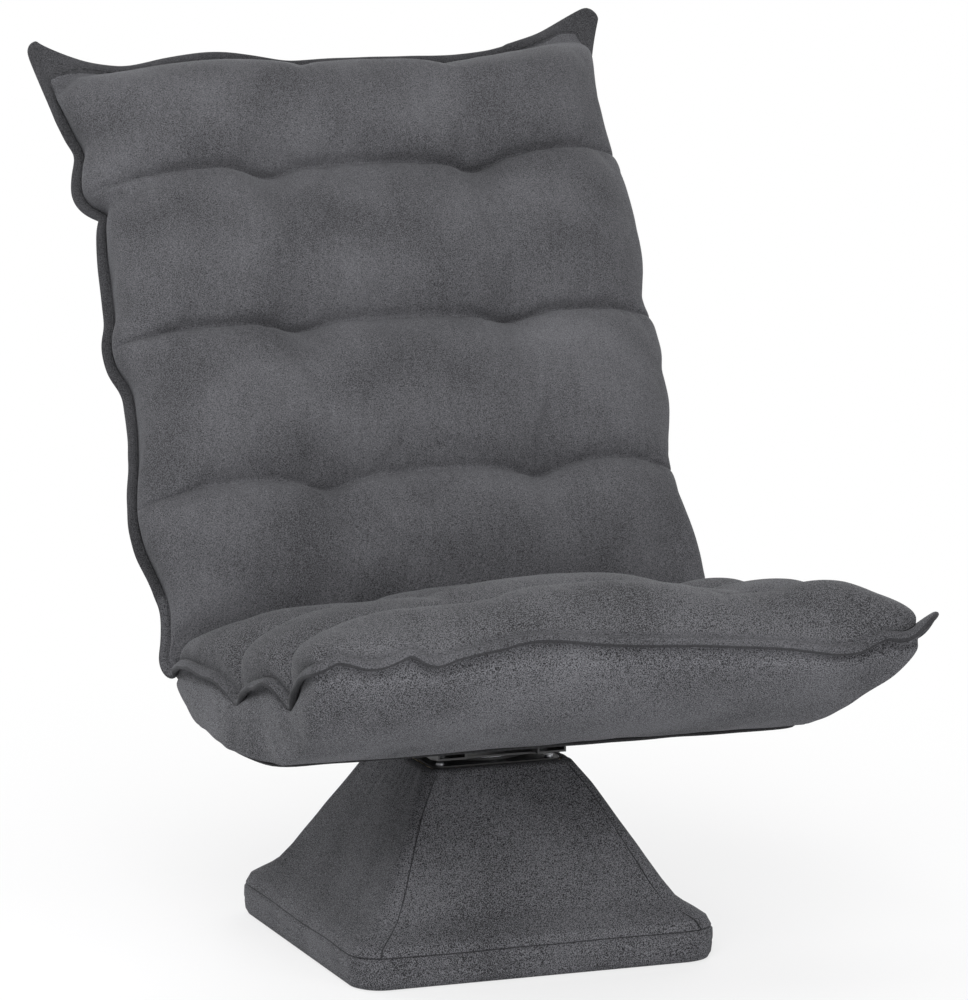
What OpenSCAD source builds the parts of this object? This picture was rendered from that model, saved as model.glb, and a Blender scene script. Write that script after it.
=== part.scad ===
// Swivel reclining lounge chair: a tufted one-piece pad on a folding steel frame,
// carried by a ball turntable on a fabric-covered pyramid base.
// The chair faces -Y, +Z is up, and the origin is on the floor under the swivel axis.

/* [Base] */
// Width of the square base at the floor
base_w = 376; // [340:5:460]
// Height of the base, floor to the top board
base_h = 186; // [170:1:230]
// Width of the square top of the base
base_top_w = 150; // [146:2:190]
// Height of the plinth under the sloping sides
plinth_h = 58; // [52:1:70]
// Height of the seam round the plinth
band_seam_h = 32; // [24:1:36]
// How far the sloping sides start inside the plinth
slope_inset = 32; // [24:1:40]
// Corner radius of the plinth
base_corner_r = 34; // [20:1:50]
// Thickness of the bottom board
bottom_board_t = 12; // [9:1:18]
// Thickness of the top board
top_board_t = 15; // [12:1:20]
// Thickness of the sloping plywood sides
side_panel_t = 9; // [6:1:12]
// Thickness of the foam lining under the base cover
base_foam_t = 6; // [4:1:9]
// Thickness of the base cover fabric
base_fabric_t = 1.6; // [1:0.1:2.5]
// Thickness of the non-slip cloth the base stands on
underlay_t = 1.4; // [1:0.1:3]

/* [Turntable] */
// Width of the square turntable plates
plate_w = 134; // [126:1:144]
// Thickness of the turntable plates
plate_t = 2; // [1.5:0.1:3]
// Radius of the ball circle
race_r = 48; // [40:1:54]
// Diameter of the balls
ball_d = 6; // [5:0.5:7]
// Number of balls
ball_count = 20; // [12:1:24]
// Radius of the hollow centre rivet
pivot_r = 9; // [7:0.5:12]

/* [Frame] */
// Outer diameter of the frame tubes
tube_d = 22; // [19:1:25]
// Wall thickness of the frame tubes
tube_wall = 1.5; // [1.2:0.1:2]
// Distance between the centre lines of the side tubes
frame_w = 452; // [420:2:480]
// Distance from the hinge axis forward to the front tube
seat_frame_len = 368; // [350:2:376]
// Rise of the front tube above the level part of the seat frame
seat_frame_rise = 48; // [30:1:50]
// Length of the level part of the seat frame
seat_frame_level = 188; // [170:2:210]
// Distance from the hinge axis up to the top tube
back_frame_len = 630; // [560:2:650]
// Height of the hinge axis above the floor
hinge_h = 246; // [244:1:270]
// Distance of the hinge axis behind the swivel axis
hinge_back = 68; // [60:1:80]
// Thickness of the hinge cheek plates
cheek_t = 3; // [2.5:0.5:4]
// Thickness of the toothed hinge plate
ratchet_t = 5; // [4:0.5:6]
// Radius of the tooth tips
ratchet_r = 13; // [12:0.5:14]
// Step between two backrest positions, in degrees
ratchet_step = 12; // [8:4:12]
// Most upright place of the backrest, in degrees from the one shown
recline_min = -24; // [-24:12:-12]
// Radius of the hinge rivet
hinge_pin_r = 4; // [3:0.5:5]
// Width of the elastic straps
strap_w = 50; // [30:2:60]

/* [Pad] */
// Width of the seat pad between its seams
seat_w = 586; // [560:2:620]
// Distance from the hinge axis to the front seam
seat_len = 474; // [460:2:490]
// Slope of the seat seam above level, in degrees
seat_slope = 8; // [7:0.5:10]
// Width of the back pad between its seams
back_w = 584; // [560:2:610]
// Distance from the hinge axis to the top seam
back_len = 690; // [670:2:740]
// Recline of the backrest from upright, in degrees
back_rake = 33.5; // [30:0.5:40]
// Height of the seam plane above the hinge axis
seam_h = 28; // [24:1:32]
// Width of the sewn edge that stands out beyond the seams
flange_w = 11; // [8:1:14]
// Thickness of the seat pad above the seam plane, at the crowns
seat_crown = 84; // [70:2:92]
// How much lower the seat's outer columns are than its middle
seat_side_drop = 14; // [0:1:24]
// Thickness of the back pad above the seam plane, at the crowns
back_crown = 88; // [70:2:96]
// Depth of the sewn channels below the crowns
channel_depth = 24; // [10:1:36]
// Extra depth of the tuft points
tuft_depth = 14; // [4:1:24]
// Distance of the tuft columns from the middle
tuft_x = 115; // [90:1:130]
// Thickness of the back cover behind the seam plane
rear_t = 43; // [40:1:54]
// How far the top corners of the back run out
back_ear = 32; // [8:1:40]
// How far the front corners of the seat run out
seat_ear = 12; // [4:1:24]
// How far the front of the seat is undercut
undercut = 188; // [150:2:200]
// How far the sides of the seat draw in towards the bottom
surround_draw = 24; // [10:1:40]

/* [Hidden] */

smooth = 48;        // facets of the round holes, tubes and pins
fit = 0.05;         // radial clearance of a running fit
FABRIC = [0.33, 0.34, 0.36];
BLACK = [0.08, 0.08, 0.09];
STEEL = [0.16, 0.16, 0.17];
ZINC = [0.62, 0.63, 0.65];
PLY = [0.78, 0.62, 0.42];
FOAM = [0.93, 0.88, 0.70];

function lerp(a, b, t) = a + (b - a) * t;
function clamp01(t) = max(0, min(1, t));

// A closed solid through rings of points: each ring has the same count,
// runs anticlockwise seen from above, and the first and last ring are flat.
module loft(rings) {
    n = len(rings[0]);
    m = len(rings);
    points = [for (r = rings) for (p = r) p];
    sides = [for (k = [0:m - 2]) for (i = [0:n - 1])
        let (a = k * n + i, b = k * n + (i + 1) % n)
        each [[a, b + n, b], [a, a + n, b + n]]];
    bottom = [for (i = [0:n - 1]) i];
    top = [for (i = [n - 1:-1:0]) (m - 1) * n + i];
    polyhedron(points, concat([bottom], sides, [top]));
}

// Corner points of a square of half width h with rounded corners, as a flat list
function rounded_ring(h, r, z, per = 6) =
    [for (c = [0:3]) for (i = [0:per])
        let (a = 90 * c + 90 * i / per,
             sx = (c == 0 || c == 3) ? 1 : -1,
             sy = (c < 2) ? 1 : -1)
        [sx * (h - r) + r * cos(a), sy * (h - r) + r * sin(a), z]];

// A flat plate with round corners, drawn from squares and circles so that it stays exact
module rounded_plate(w, l, r, t) {
    linear_extrude(t) {
        square([w - 2 * r, l], center = true);
        square([w, l - 2 * r], center = true);
        for (x = [-1, 1], y = [-1, 1])
            translate([x * (w / 2 - r), y * (l / 2 - r)]) circle(r, $fn = smooth);
    }
}

// Base: the foot of the sloping sides is set in from the plinth
sheath_t = base_foam_t + base_fabric_t;
slope_foot = base_w / 2 - slope_inset;     // half width of the cover where the slope starts
slope_foot_z = plinth_h;
plinth_rail_t = 15;
board_w = base_w - 2 * sheath_t;
board_z = underlay_t;
plinth_z = board_z + bottom_board_t;
panel_foot = slope_foot - sheath_t;
panel_top = base_top_w / 2 - sheath_t;
panel_top_z = base_h - top_board_t;

module base_underlay() {
    color(BLACK) rounded_plate(board_w, board_w, base_corner_r - sheath_t, underlay_t);
}

module base_bottom_board() {
    color(PLY) translate([0, 0, board_z])
        rounded_plate(board_w, board_w, base_corner_r - sheath_t, bottom_board_t);
}

// Four rails on edge, the side ones held between the front and rear ones
module base_plinth_rails() {
    out = panel_foot;
    h = slope_foot_z - plinth_z;
    color(PLY) for (s = [-1, 1]) {
        translate([0, s * (out - plinth_rail_t / 2), plinth_z + h / 2])
            cube([2 * out, plinth_rail_t, h], center = true);
        translate([s * (out - plinth_rail_t / 2), 0, plinth_z + h / 2])
            cube([plinth_rail_t, 2 * (out - plinth_rail_t), h], center = true);
    }
}

// One sloping side, mitred into its neighbours and standing on the plinth rails
module base_panel(turn) {
    a = panel_foot;
    b = panel_top;
    z0 = slope_foot_z;
    z1 = panel_top_z;
    in0 = side_panel_t * norm([a - b, z1 - z0]) / (z1 - z0);
    corners = [[-a, -a, z0], [a, -a, z0], [a - in0, -a + in0, z0], [-a + in0, -a + in0, z0],
               [-b, -b, z1], [b, -b, z1], [b - in0, -b + in0, z1], [-b + in0, -b + in0, z1]];
    color(PLY) rotate([0, 0, turn])
        polyhedron(corners, [[0, 1, 2, 3], [7, 6, 5, 4], [0, 4, 5, 1], [1, 5, 6, 2], [2, 6, 7, 3], [3, 7, 4, 0]]);
}
module base_panel_front() base_panel(0);
module base_panel_right() base_panel(90);
module base_panel_rear() base_panel(180);
module base_panel_left() base_panel(270);

// The board the turntable is screwed to
screw_x = plate_w / 2 - 10;
module base_top_board() {
    color(PLY) difference() {
        translate([0, 0, panel_top_z]) rounded_plate(2 * panel_top, 2 * panel_top, 3, top_board_t);
        for (x = [-1, 1], y = [-1, 1])
            translate([x * screw_x, y * screw_x, panel_top_z - 1]) cylinder(r = 2.1, h = top_board_t + 2, $fn = smooth);
    }
}

// Outline of the base cover as half width, height and corner radius, from the floor up
function base_profile(t) =
    let (w = base_w / 2 - t, r = base_corner_r - t, s = band_seam_h, c = plinth_h, i = slope_inset)
    [[w - 3, underlay_t, r - 3],
     [w - 0.5, s * 0.2, r],
     [w - 0.5, s * 0.45, r],
     [w - 1.6, s * 0.52, r - 1],
     [w, s * 0.62, r],
     [w, s - 3, r],
     [w - 2.2, s, r - 2],
     [w - 2.4, s + 2.5, r - 2],
     [w - i * 0.2, lerp(s, c, 0.36), r - 4],
     [w - i * 0.5, lerp(s, c, 0.6), r - 8],
     [w - i * 0.82, lerp(s, c, 0.84), 20],
     [slope_foot - t - 1.5, c + 1.5, 17],
     [lerp(slope_foot, base_top_w / 2, 0.5) - t, lerp(c, base_h, 0.5), 14],
     [base_top_w / 2 + 3 - t, base_h - 5, 12],
     [base_top_w / 2 - t, base_h, 11]];

// The lining sits between the wooden box and the cover
module base_foam() {
    prof = base_profile(base_fabric_t);
    color(FOAM) difference() {
        loft([for (p = prof) rounded_ring(p[0], p[2], p[1])]);
        translate([0, 0, -1]) linear_extrude(plinth_z + 1) square(board_w, center = true);
        translate([0, 0, plinth_z - 1]) linear_extrude(slope_foot_z - plinth_z + 1) square(2 * panel_foot, center = true);
        base_core();
    }
}

// The solid space inside the foam: a pyramid with a flat top
module base_core() {
    ring = function (h, z) [[h, h, z], [-h, h, z], [-h, -h, z], [h, -h, z]];
    loft([ring(panel_foot, slope_foot_z - 0.5), ring(panel_foot, slope_foot_z), ring(panel_top, panel_top_z),
          ring(panel_top, base_h + 1)]);
}

module base_cover() {
    outer = base_profile(0);
    inner = base_profile(base_fabric_t);
    color(FABRIC) difference() {
        loft([for (p = outer) rounded_ring(p[0], p[2], p[1])]);
        loft(concat([rounded_ring(inner[0][0], inner[0][2], 0)],
                    [for (p = inner) rounded_ring(p[0], p[2], p[1])],
                    [rounded_ring(inner[14][0], inner[14][2], base_h + 1)]));
    }
}

// Turntable: two pressed plates with facing ball tracks
ring_h = ball_d / 2 - 1;               // height of a raised track
ring_gap = 2;                          // gap between the two tracks, where the cage runs
upper_z = base_h + plate_t + 2 * ring_h + ring_gap;
ball_z = base_h + plate_t + ring_h + ring_gap / 2;
plate_hole_r = 2.6;
plate_corner_r = plate_w * 0.06;
track_w = race_r / 4;                  // width of a raised track

module track(z0, z1) {
    rotate_extrude($fn = 96) difference() {
        translate([race_r - track_w / 2, min(z0, z1)]) square([track_w, abs(z1 - z0)]);
        translate([race_r, ball_z]) circle(ball_d / 2 + fit, $fn = smooth);
    }
}

module turntable_lower_plate() {
    color(STEEL) {
        difference() {
            translate([0, 0, base_h]) rounded_plate(plate_w, plate_w, plate_corner_r, plate_t);
            translate([0, 0, base_h - 1]) cylinder(r = pivot_r, h = plate_t + 2, $fn = smooth);
            for (x = [-1, 1], y = [-1, 1])
                translate([x * screw_x, y * screw_x, base_h - 1]) cylinder(r = plate_hole_r, h = plate_t + 2, $fn = smooth);
        }
        track(base_h + plate_t / 2, base_h + plate_t + ring_h);
    }
}

module turntable_upper_plate() {
    color(STEEL) {
        difference() {
            translate([0, 0, upper_z]) rounded_plate(plate_w, plate_w, plate_corner_r, plate_t);
            translate([0, 0, upper_z - 1]) cylinder(r = pivot_r + fit, h = plate_t + 2, $fn = smooth);
            for (x = [-1, 1], y = [-1, 1])
                translate([x * bolt_x, y * bolt_y, upper_z - 1]) cylinder(r = bolt_r + 0.2, h = plate_t + 2, $fn = smooth);
        }
        track(upper_z + plate_t / 2, upper_z - ring_h);
    }
}

// The hollow rivet that keeps the plates together, flared over the upper one
module turntable_pivot() {
    head_z = upper_z + plate_t + 0.1;
    color(ZINC) difference() {
        union() {
            translate([0, 0, base_h]) cylinder(r = pivot_r, h = head_z - base_h, $fn = smooth);
            translate([0, 0, head_z]) cylinder(r = pivot_r + 4, h = 1.5, $fn = smooth);
        }
        translate([0, 0, base_h - 1]) cylinder(r = pivot_r - 2, h = head_z - base_h + 4, $fn = smooth);
    }
}

module turntable_screws() {
    color(ZINC) for (x = [-1, 1], y = [-1, 1]) translate([x * screw_x, y * screw_x, 0]) {
        translate([0, 0, base_h + plate_t]) cylinder(r = 4.2, h = 1.8, $fn = smooth);
        translate([0, 0, panel_top_z + 2]) cylinder(r = 2.1, h = base_h + plate_t - panel_top_z - 2, $fn = smooth);
    }
}

module ball_cage() {
    color(ZINC) difference() {
        translate([0, 0, ball_z - 0.5]) cylinder(r = race_r + 5, h = 1, $fn = 96);
        translate([0, 0, ball_z - 1]) cylinder(r = race_r - 5, h = 2, $fn = 96);
        for (i = [0:ball_count - 1]) rotate([0, 0, 360 * i / ball_count])
            translate([race_r, 0, ball_z - 1]) cylinder(r = ball_d / 2 + fit, h = 2, $fn = smooth);
    }
}

module turntable_balls() {
    color(ZINC) for (i = [0:ball_count - 1]) rotate([0, 0, 360 * i / ball_count])
        translate([race_r, 0, ball_z]) sphere(ball_d / 2, $fn = smooth);
}

// Two channels carry the seat frame on the upper plate
channel_w = 30;
channel_t = 2;
channel_x = plate_w / 2 - channel_w / 2;
channel_z = upper_z + plate_t;
channel_h = hinge_h - tube_d / 2 - channel_z;
bolt_x = channel_x;
bolt_y = plate_w / 2 - 19;
middle_tube_at = 130;                  // from the hinge axis forward
rear_tube_at = 46;
channel_y0 = hinge_back - middle_tube_at - 16;
channel_y1 = bolt_y + 9;
bolt_r = 3;

module swivel_channel(side) {
    color(STEEL) difference() {
        translate([side * channel_x - channel_w / 2, channel_y0, channel_z])
            cube([channel_w, channel_y1 - channel_y0, channel_h]);
        translate([side * channel_x - channel_w / 2 + channel_t, channel_y0 - 1, channel_z + channel_t])
            cube([channel_w - 2 * channel_t, channel_y1 - channel_y0 + 2, channel_h - 2 * channel_t]);
        for (y = [-1, 1])
            translate([side * bolt_x, y * bolt_y, channel_z - 1]) cylinder(r = bolt_r + 0.2, h = channel_t + 2, $fn = smooth);
    }
}
module swivel_channel_left() swivel_channel(-1);
module swivel_channel_right() swivel_channel(1);

module turntable_bolts() {
    color(ZINC) for (x = [-1, 1], y = [-1, 1]) translate([x * bolt_x, y * bolt_y, 0]) {
        translate([0, 0, upper_z]) cylinder(r = bolt_r, h = plate_t + channel_t + 5, $fn = smooth);
        translate([0, 0, channel_z + channel_t]) cylinder(r = 5.5, h = 4, $fn = 6);
    }
}

// Pads: the rows are divided by sewn channels, at these distances from the hinge axis
seat_start = 33;
seat_channels = [212, 356];
back_start = 33;
back_channels = [182, 360, 534];
row_steps = 8;
across_steps = 24;

// Places for the frame and the pads: both start at the hinge axis.
// Local +Y runs along the pad, away from the hinge, and local +Z faces the sitter.
module at_hinge() translate([0, hinge_back, hinge_h]) children();
module on_seat() at_hinge() rotate([0, 0, 180]) rotate([seat_slope, 0, 0]) children();
module on_seat_frame() at_hinge() rotate([0, 0, 180]) children();
module on_back() at_hinge() rotate([90 - back_rake, 0, 0]) children();

// A tube of the frame along local Y or X
tube_r = tube_d / 2;
module tube_y(x, y0, y1) {
    translate([x, y0, 0]) rotate([-90, 0, 0]) difference() {
        cylinder(r = tube_r, h = y1 - y0, $fn = smooth);
        translate([0, 0, -1]) cylinder(r = tube_r - tube_wall, h = y1 - y0 + 2, $fn = smooth);
    }
}
module tube_x(y, half) {
    translate([-half, y, 0]) rotate([0, 90, 0]) difference() {
        cylinder(r = tube_r, h = 2 * half, $fn = smooth);
        translate([0, 0, -1]) cylinder(r = tube_r - tube_wall, h = 2 * half + 2, $fn = smooth);
    }
}
// Room cut from a cross tube's ends so that they fit round the side tubes
saddle_over = 50;      // how far the cut runs past the frame at each end
module side_saddles() {
    for (s = [-1, 1]) translate([s * frame_w / 2, -saddle_over, 0]) rotate([-90, 0, 0])
        cylinder(r = tube_r, h = back_frame_len + 2 * saddle_over, $fn = smooth);
}
module cross_tube(y) {
    difference() {
        tube_x(y, frame_w / 2);
        side_saddles();
    }
}

rail_start = 34;       // where a side tube starts, from the hinge axis
rail_over = 14;        // how far a back tube runs past its top cross tube

// The rails are level as far as the bend and rise from there to the front tube
rise_angle = atan(seat_frame_rise / (seat_frame_len - seat_frame_level));
rise_len = norm([seat_frame_rise, seat_frame_len - seat_frame_level]);
module at_bend() translate([0, seat_frame_level, 0]) rotate([rise_angle, 0, 0]) children();
module rail_solid(r, over) {
    translate([0, rail_start - over, 0]) rotate([-90, 0, 0])
        cylinder(r = r, h = seat_frame_level - rail_start + over, $fn = smooth);
    at_bend() {
        sphere(r, $fn = smooth);
        rotate([-90, 0, 0]) cylinder(r = r, h = rise_len - tube_r - 0.1 + over, $fn = smooth);
    }
}
module seat_rail(side) {
    color(STEEL) on_seat_frame() translate([side * frame_w / 2, 0, 0]) difference() {
        rail_solid(tube_r, 0);
        rail_solid(tube_r - tube_wall, 1);
    }
}
module seat_rail_left() seat_rail(1);
module seat_rail_right() seat_rail(-1);

// The front tube runs over the full width, in front of the rails' ends
module seat_front_tube() {
    color(STEEL) on_seat_frame() at_bend() tube_x(rise_len, frame_w / 2 + tube_r);
}
module seat_middle_tube() color(STEEL) on_seat_frame() cross_tube(middle_tube_at);
module seat_rear_tube() color(STEEL) on_seat_frame() cross_tube(rear_tube_at);

// Hinge: a toothed plate on the backrest turns between two cheeks on the seat
cheek_gap = ratchet_t + 0.6;
cheek_r = 16;
plug_r = tube_r - tube_wall - 0.05;
tongue_w = 16;
pawl_at = 20;          // the pawl's pin, from the hinge axis along the arm
pawl_up = 4.5;
pawl_pin_r = 1.5;

// A flat plate of a hinge half: a disc with an arm to the tube, in the plane across X
module hinge_plate(x, t, r) {
    translate([x - t / 2, 0, 0]) rotate([90, 0, 90]) linear_extrude(t) difference() {
        union() {
            circle(r, $fn = 96);
            translate([0, -tongue_w / 2]) square([rail_start, tongue_w]);
        }
        circle(hinge_pin_r + fit, $fn = smooth);
        translate([pawl_at, pawl_up]) circle(pawl_pin_r + fit, $fn = 24);
    }
}
module hinge_plug(x) {
    translate([x, rail_start, 0]) rotate([-90, 0, 0]) cylinder(r = plug_r, h = 24, $fn = smooth);
}

module hinge_cheeks(side) {
    x = side * frame_w / 2;
    color(ZINC) on_seat_frame() {
        for (s = [-1, 1]) hinge_plate(x + s * (cheek_gap + cheek_t) / 2, cheek_t, cheek_r);
        hinge_plug(x);
    }
}
module hinge_cheeks_left() hinge_cheeks(1);
module hinge_cheeks_right() hinge_cheeks(-1);

module hinge_rivets() {
    half = cheek_gap / 2 + cheek_t;
    color(ZINC) at_hinge() for (s = [-1, 1]) translate([s * frame_w / 2, 0, 0]) rotate([0, 90, 0]) {
        cylinder(r = hinge_pin_r, h = 2 * half, center = true, $fn = smooth);
        for (e = [-1, 1]) translate([0, 0, e * (half + 1)])
            cylinder(r = hinge_pin_r + 3, h = 2, center = true, $fn = smooth);
    }
}

// The pawl is drawn lifted clear of the teeth, between the cheeks, on its own pin
module hinge_pawls() {
    color(ZINC) on_seat_frame() for (s = [-1, 1])
        translate([s * frame_w / 2, pawl_at, pawl_up]) rotate([90, 0, 90]) {
            difference() {
                linear_extrude(ratchet_t - 0.6, center = true) {
                    circle(3, $fn = smooth);
                    polygon([[-4.6, 0.6], [-3.6, -1.2], [0, -3], [6, -2], [6, 2], [0, 3]]);
                }
                cylinder(r = pawl_pin_r + fit, h = ratchet_t + 2, center = true, $fn = smooth);
            }
            cylinder(r = pawl_pin_r, h = cheek_gap + 2 * cheek_t, center = true, $fn = smooth);
        }
}

// Teeth only where the pawl can meet them, from the flat to the upright position
module ratchet_plate(side) {
    teeth = floor(360 / ratchet_step);
    outline = [for (i = [0:teeth - 1])
        each [[ratchet_r * cos(ratchet_step * i), ratchet_r * sin(ratchet_step * i)],
              [(ratchet_r - 1.6) * cos(ratchet_step * i + 1), (ratchet_r - 1.6) * sin(ratchet_step * i + 1)]]];
    x = side * frame_w / 2;
    color(ZINC) on_back() {
        translate([x - ratchet_t / 2, 0, 0]) rotate([90, 0, 90]) linear_extrude(ratchet_t) difference() {
            union() {
                polygon(outline);
                translate([0, -6]) square([rail_start, 12]);
            }
            circle(hinge_pin_r + fit, $fn = smooth);
        }
        hinge_plug(x);
    }
}
module ratchet_plate_left() ratchet_plate(-1);
module ratchet_plate_right() ratchet_plate(1);

module back_stile(side) {
    color(STEEL) on_back() tube_y(side * frame_w / 2, rail_start, back_frame_len + rail_over);
}
module back_stile_left() back_stile(-1);
module back_stile_right() back_stile(1);

back_cross = [rail_start + 40, back_frame_len * 0.587, back_frame_len * 0.88];
module back_top_tube() color(STEEL) on_back() cross_tube(back_frame_len);
module back_cross_tubes() color(STEEL) on_back() for (y = back_cross) cross_tube(y);

// Elastic straps across the frames, under the foam
strap_t = 1.6;
module strap(y) translate([-frame_w / 2, y - strap_w / 2, tube_r]) cube([frame_w, strap_w, strap_t]);
module seat_webbing() {
    color(BLACK) on_seat_frame() {
        for (y = [rail_start + 36, seat_frame_level - 38]) strap(y);
        at_bend() for (y = [40, rise_len - 44]) strap(y);
    }
}
module back_webbing() {
    color(BLACK) on_back() for (i = [0:5]) strap(lerp(90, back_frame_len - 70, i / 5));
}

// How far along a row s lies, from -1 to 1, and the sewn line nearest to it
function row_index(s, lines) = len([for (c = lines) if (s > c) c]);
function row_t(s, edges) =
    let (i = min(row_index(s, [for (k = [1:len(edges) - 2]) edges[k]]), len(edges) - 2))
    2 * (s - edges[i]) / (edges[i + 1] - edges[i]) - 1;

// Rounded edge of a pad at the side, at the hinge end and at the far end
function side_edge(u) = pow(1 - pow(min(1, abs(u)), 7), 0.42);
function hinge_edge(d) = sin(90 * clamp01(d / 132));
function far_edge(d, roundness) = pow(1 - pow(1 - clamp01(d / 70), 2.4), roundness);

// Height of a padded face above its seam plane, at u across (-1 to 1) and s along
function puff(u, s, w, edges, fill) =
    let (n = len(edges) - 1,
         t = row_t(s, edges),
         row = pow(max(0, 1 - pow(abs(t), 2.2)), 0.6),
         x = u * w / 2,
         dips = [for (k = [1:n - 1]) for (c = [-tuft_x, tuft_x])
             exp(-(pow((x - c) / 34, 2) + pow((s - edges[k]) / 30, 2)))],
         column = exp(-pow((abs(x) - tuft_x) / 26, 2)) * (1 - 0.5 * row),
         inner = s > edges[1] - 1 && s < edges[n - 1] + 1,
         outer = 1 - exp(-pow(x / tuft_x, 4)),
         at_end = (s < edges[1] && t < 0) || (s > edges[n - 1] && t > 0),
         body = fill[0] - fill[1] * outer - channel_depth * (1 - row) * (at_end ? 0 : 1)
                - tuft_depth * max(concat([0], dips)) - (inner ? 5 : 3) * column)
    side_edge(u) * hinge_edge(s - edges[0]) * far_edge(edges[n] - s, fill[2]) * body;

// Half width at s: the sides draw in at each sewn line, and the far corners run out
function half_width(s, w, edges, ear) =
    let (n = len(edges) - 1, t = (s - edges[0]) / (edges[n] - edges[0]))
    w / 2 - 4 * sin(180 * clamp01(t))
        - 6 * max(concat([0], [for (k = [1:n - 1]) exp(-pow((s - edges[k] + 6) / 22, 2))]))
        + ear * 0.45 * exp(-max(0, edges[n] + flange_w - s) / 22);

// The far seam draws in between the corners and runs out at them
function far_shift(u, t, ear) = (ear * pow(abs(u), 9) - 6 * (1 - min(1, u * u))) * pow(clamp01(t), 6);

// The filling swells over the seam half way up the sides
overhang = 9;
function pad_at(u, s, w, edges, ear, h, rise) =
    let (n = len(edges) - 1, t = (s - edges[0]) / (edges[n] - edges[0]), k = clamp01(rise / 50))
    [u * half_width(s, w, edges, ear) + sign(u) * overhang * 4 * k * (1 - k) * (abs(u) > 0.6 ? 1 : 0),
     s + far_shift(u, t, ear), seam_h + h];

// A tufted pad: the crowned face, a thin sewn edge, and a flat underside on the seam plane
edge_t = 3;
module pad(w, edges, fill, ear) {
    rows = len(edges) - 1;
    ss = concat([for (k = [0:rows - 1]) for (j = [0:row_steps - 1]) lerp(edges[k], edges[k + 1], j / row_steps)],
                [edges[rows], edges[rows] + flange_w]);
    ns = len(ss) - 1;
    lip = 2 * flange_w / w;
    inner = [for (i = [0:across_steps]) let (v = 2 * i / across_steps - 1) sign(v) * (1 - pow(1 - abs(v), 1.35))];
    us = concat([-1 - lip], inner, [1 + lip]);
    nu = len(us) - 1;
    face = [for (s = ss) for (u = us) let (h = puff(u, s, w, edges, fill)) pad_at(u, s, w, edges, ear, edge_t + h, h)];
    rim_at = concat([for (i = [0:nu - 1]) [us[i], ss[0]]], [for (j = [0:ns - 1]) [us[nu], ss[j]]],
                    [for (i = [nu:-1:1]) [us[i], ss[ns]]], [for (j = [ns:-1:1]) [us[0], ss[j]]]);
    rim_ids = concat([for (i = [0:nu - 1]) i], [for (j = [0:ns - 1]) j * (nu + 1) + nu],
                     [for (i = [nu:-1:1]) ns * (nu + 1) + i], [for (j = [ns:-1:1]) j * (nu + 1)]);
    rim = [for (p = rim_at) pad_at(p[0], p[1], w, edges, ear, 0, 0)];
    m = len(rim);
    base = len(face);
    quads = [for (j = [0:ns - 1]) for (i = [0:nu - 1]) let (a = j * (nu + 1) + i)
        each [[a, a + nu + 1, a + nu + 2], [a, a + nu + 2, a + 1]]];
    walls = [for (k = [0:m - 1]) let (n = (k + 1) % m)
        each [[base + k, rim_ids[k], rim_ids[n]], [base + k, rim_ids[n], base + n]]];
    // The flat underside is a fan round one point in the middle
    middle = [0, (edges[0] + edges[rows]) / 2, seam_h];
    fan = [for (k = [0:m - 1]) [base + m, base + k, base + (k + 1) % m]];
    polyhedron(concat(face, rim, [middle]), concat(quads, walls, fan));
}

seat_edges = concat([seat_start], seat_channels, [seat_len]);
back_edges = concat([back_start], back_channels, [back_len]);
// How each pad is filled: its crown, what its outer columns lack, and how slowly the far edge rounds off
seat_fill = [seat_crown, seat_side_drop, 0.5];
back_fill = [back_crown, 0, 1];
module seat_cushion() color(FABRIC) on_seat() pad(seat_w, seat_edges, seat_fill, seat_ear);
module back_cushion() color(FABRIC) on_back() pad(back_w, back_edges, back_fill, back_ear);

// Seat surround: from the seam down to the bottom, undercut at the front
bottom_z = hinge_h - tube_r - 3;
surround_rear = hinge_back - 6;
front_y = hinge_back - (seat_len * cos(seat_slope) - seam_h * sin(seat_slope));
function seam_z(y) = hinge_h + seam_h / cos(seat_slope) + (hinge_back - y) * tan(seat_slope);
surround_steps = 7;
surround_side = 7;

// Outline where the walls have come in by the share q: both rear corners, then both front ones
function surround_ring(q) =
    let (hw = seat_w / 2 - 1 - surround_draw * q,
         yf = front_y + 4 + (undercut - 4) * q,
         yr = surround_rear - 26 * q)
    [for (c = [0:3]) for (i = [0:surround_side])
        let (a = [90, 180, 270, 0][c] + 90 * i / surround_side,
             left = c == 0 || c == 1,
             rear = c == 0 || c == 3,
             r = rear ? 8 + 40 * q : 26 + 14 * q)
        [(left ? -hw + r : hw - r) + r * cos(a), (rear ? yr - r : yf + r) + r * sin(a)]];

module surround_outer() {
    loft([for (k = [surround_steps:-1:0])
        let (a = 90 * k / surround_steps, q = lerp(sin(a), 1 - cos(a), 0.5))
        [for (p = surround_ring(q)) [p[0], p[1], lerp(seam_z(p[1]), bottom_z, sin(a))]]]);
}

// The foam and the room for the frame, as outlines along the chair
foam_w = 2 * (frame_w / 2 + tube_r + 3);
foam_rear = hinge_back - rail_start + 4;
bend_y = hinge_back - seat_frame_level;
foam_front = hinge_back - seat_frame_len - tube_r - 6;
function frame_line(y, h) = hinge_h + h + max(0, bend_y - y) * tan(rise_angle);
frame_top = tube_r + strap_t;
module along_seat(w, points) translate([-w / 2, 0, 0]) rotate([90, 0, 90]) linear_extrude(w) polygon(points);
module seat_foam_block() {
    h = frame_top + 0.6;
    along_seat(foam_w, [[foam_front, frame_line(foam_front, h)], [bend_y, frame_line(bend_y, h)],
                        [foam_rear, frame_line(foam_rear, h)], [foam_rear, seam_z(foam_rear)],
                        [foam_front, seam_z(foam_front)]]);
}
module seat_foam() color(FOAM) seat_foam_block();

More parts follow.
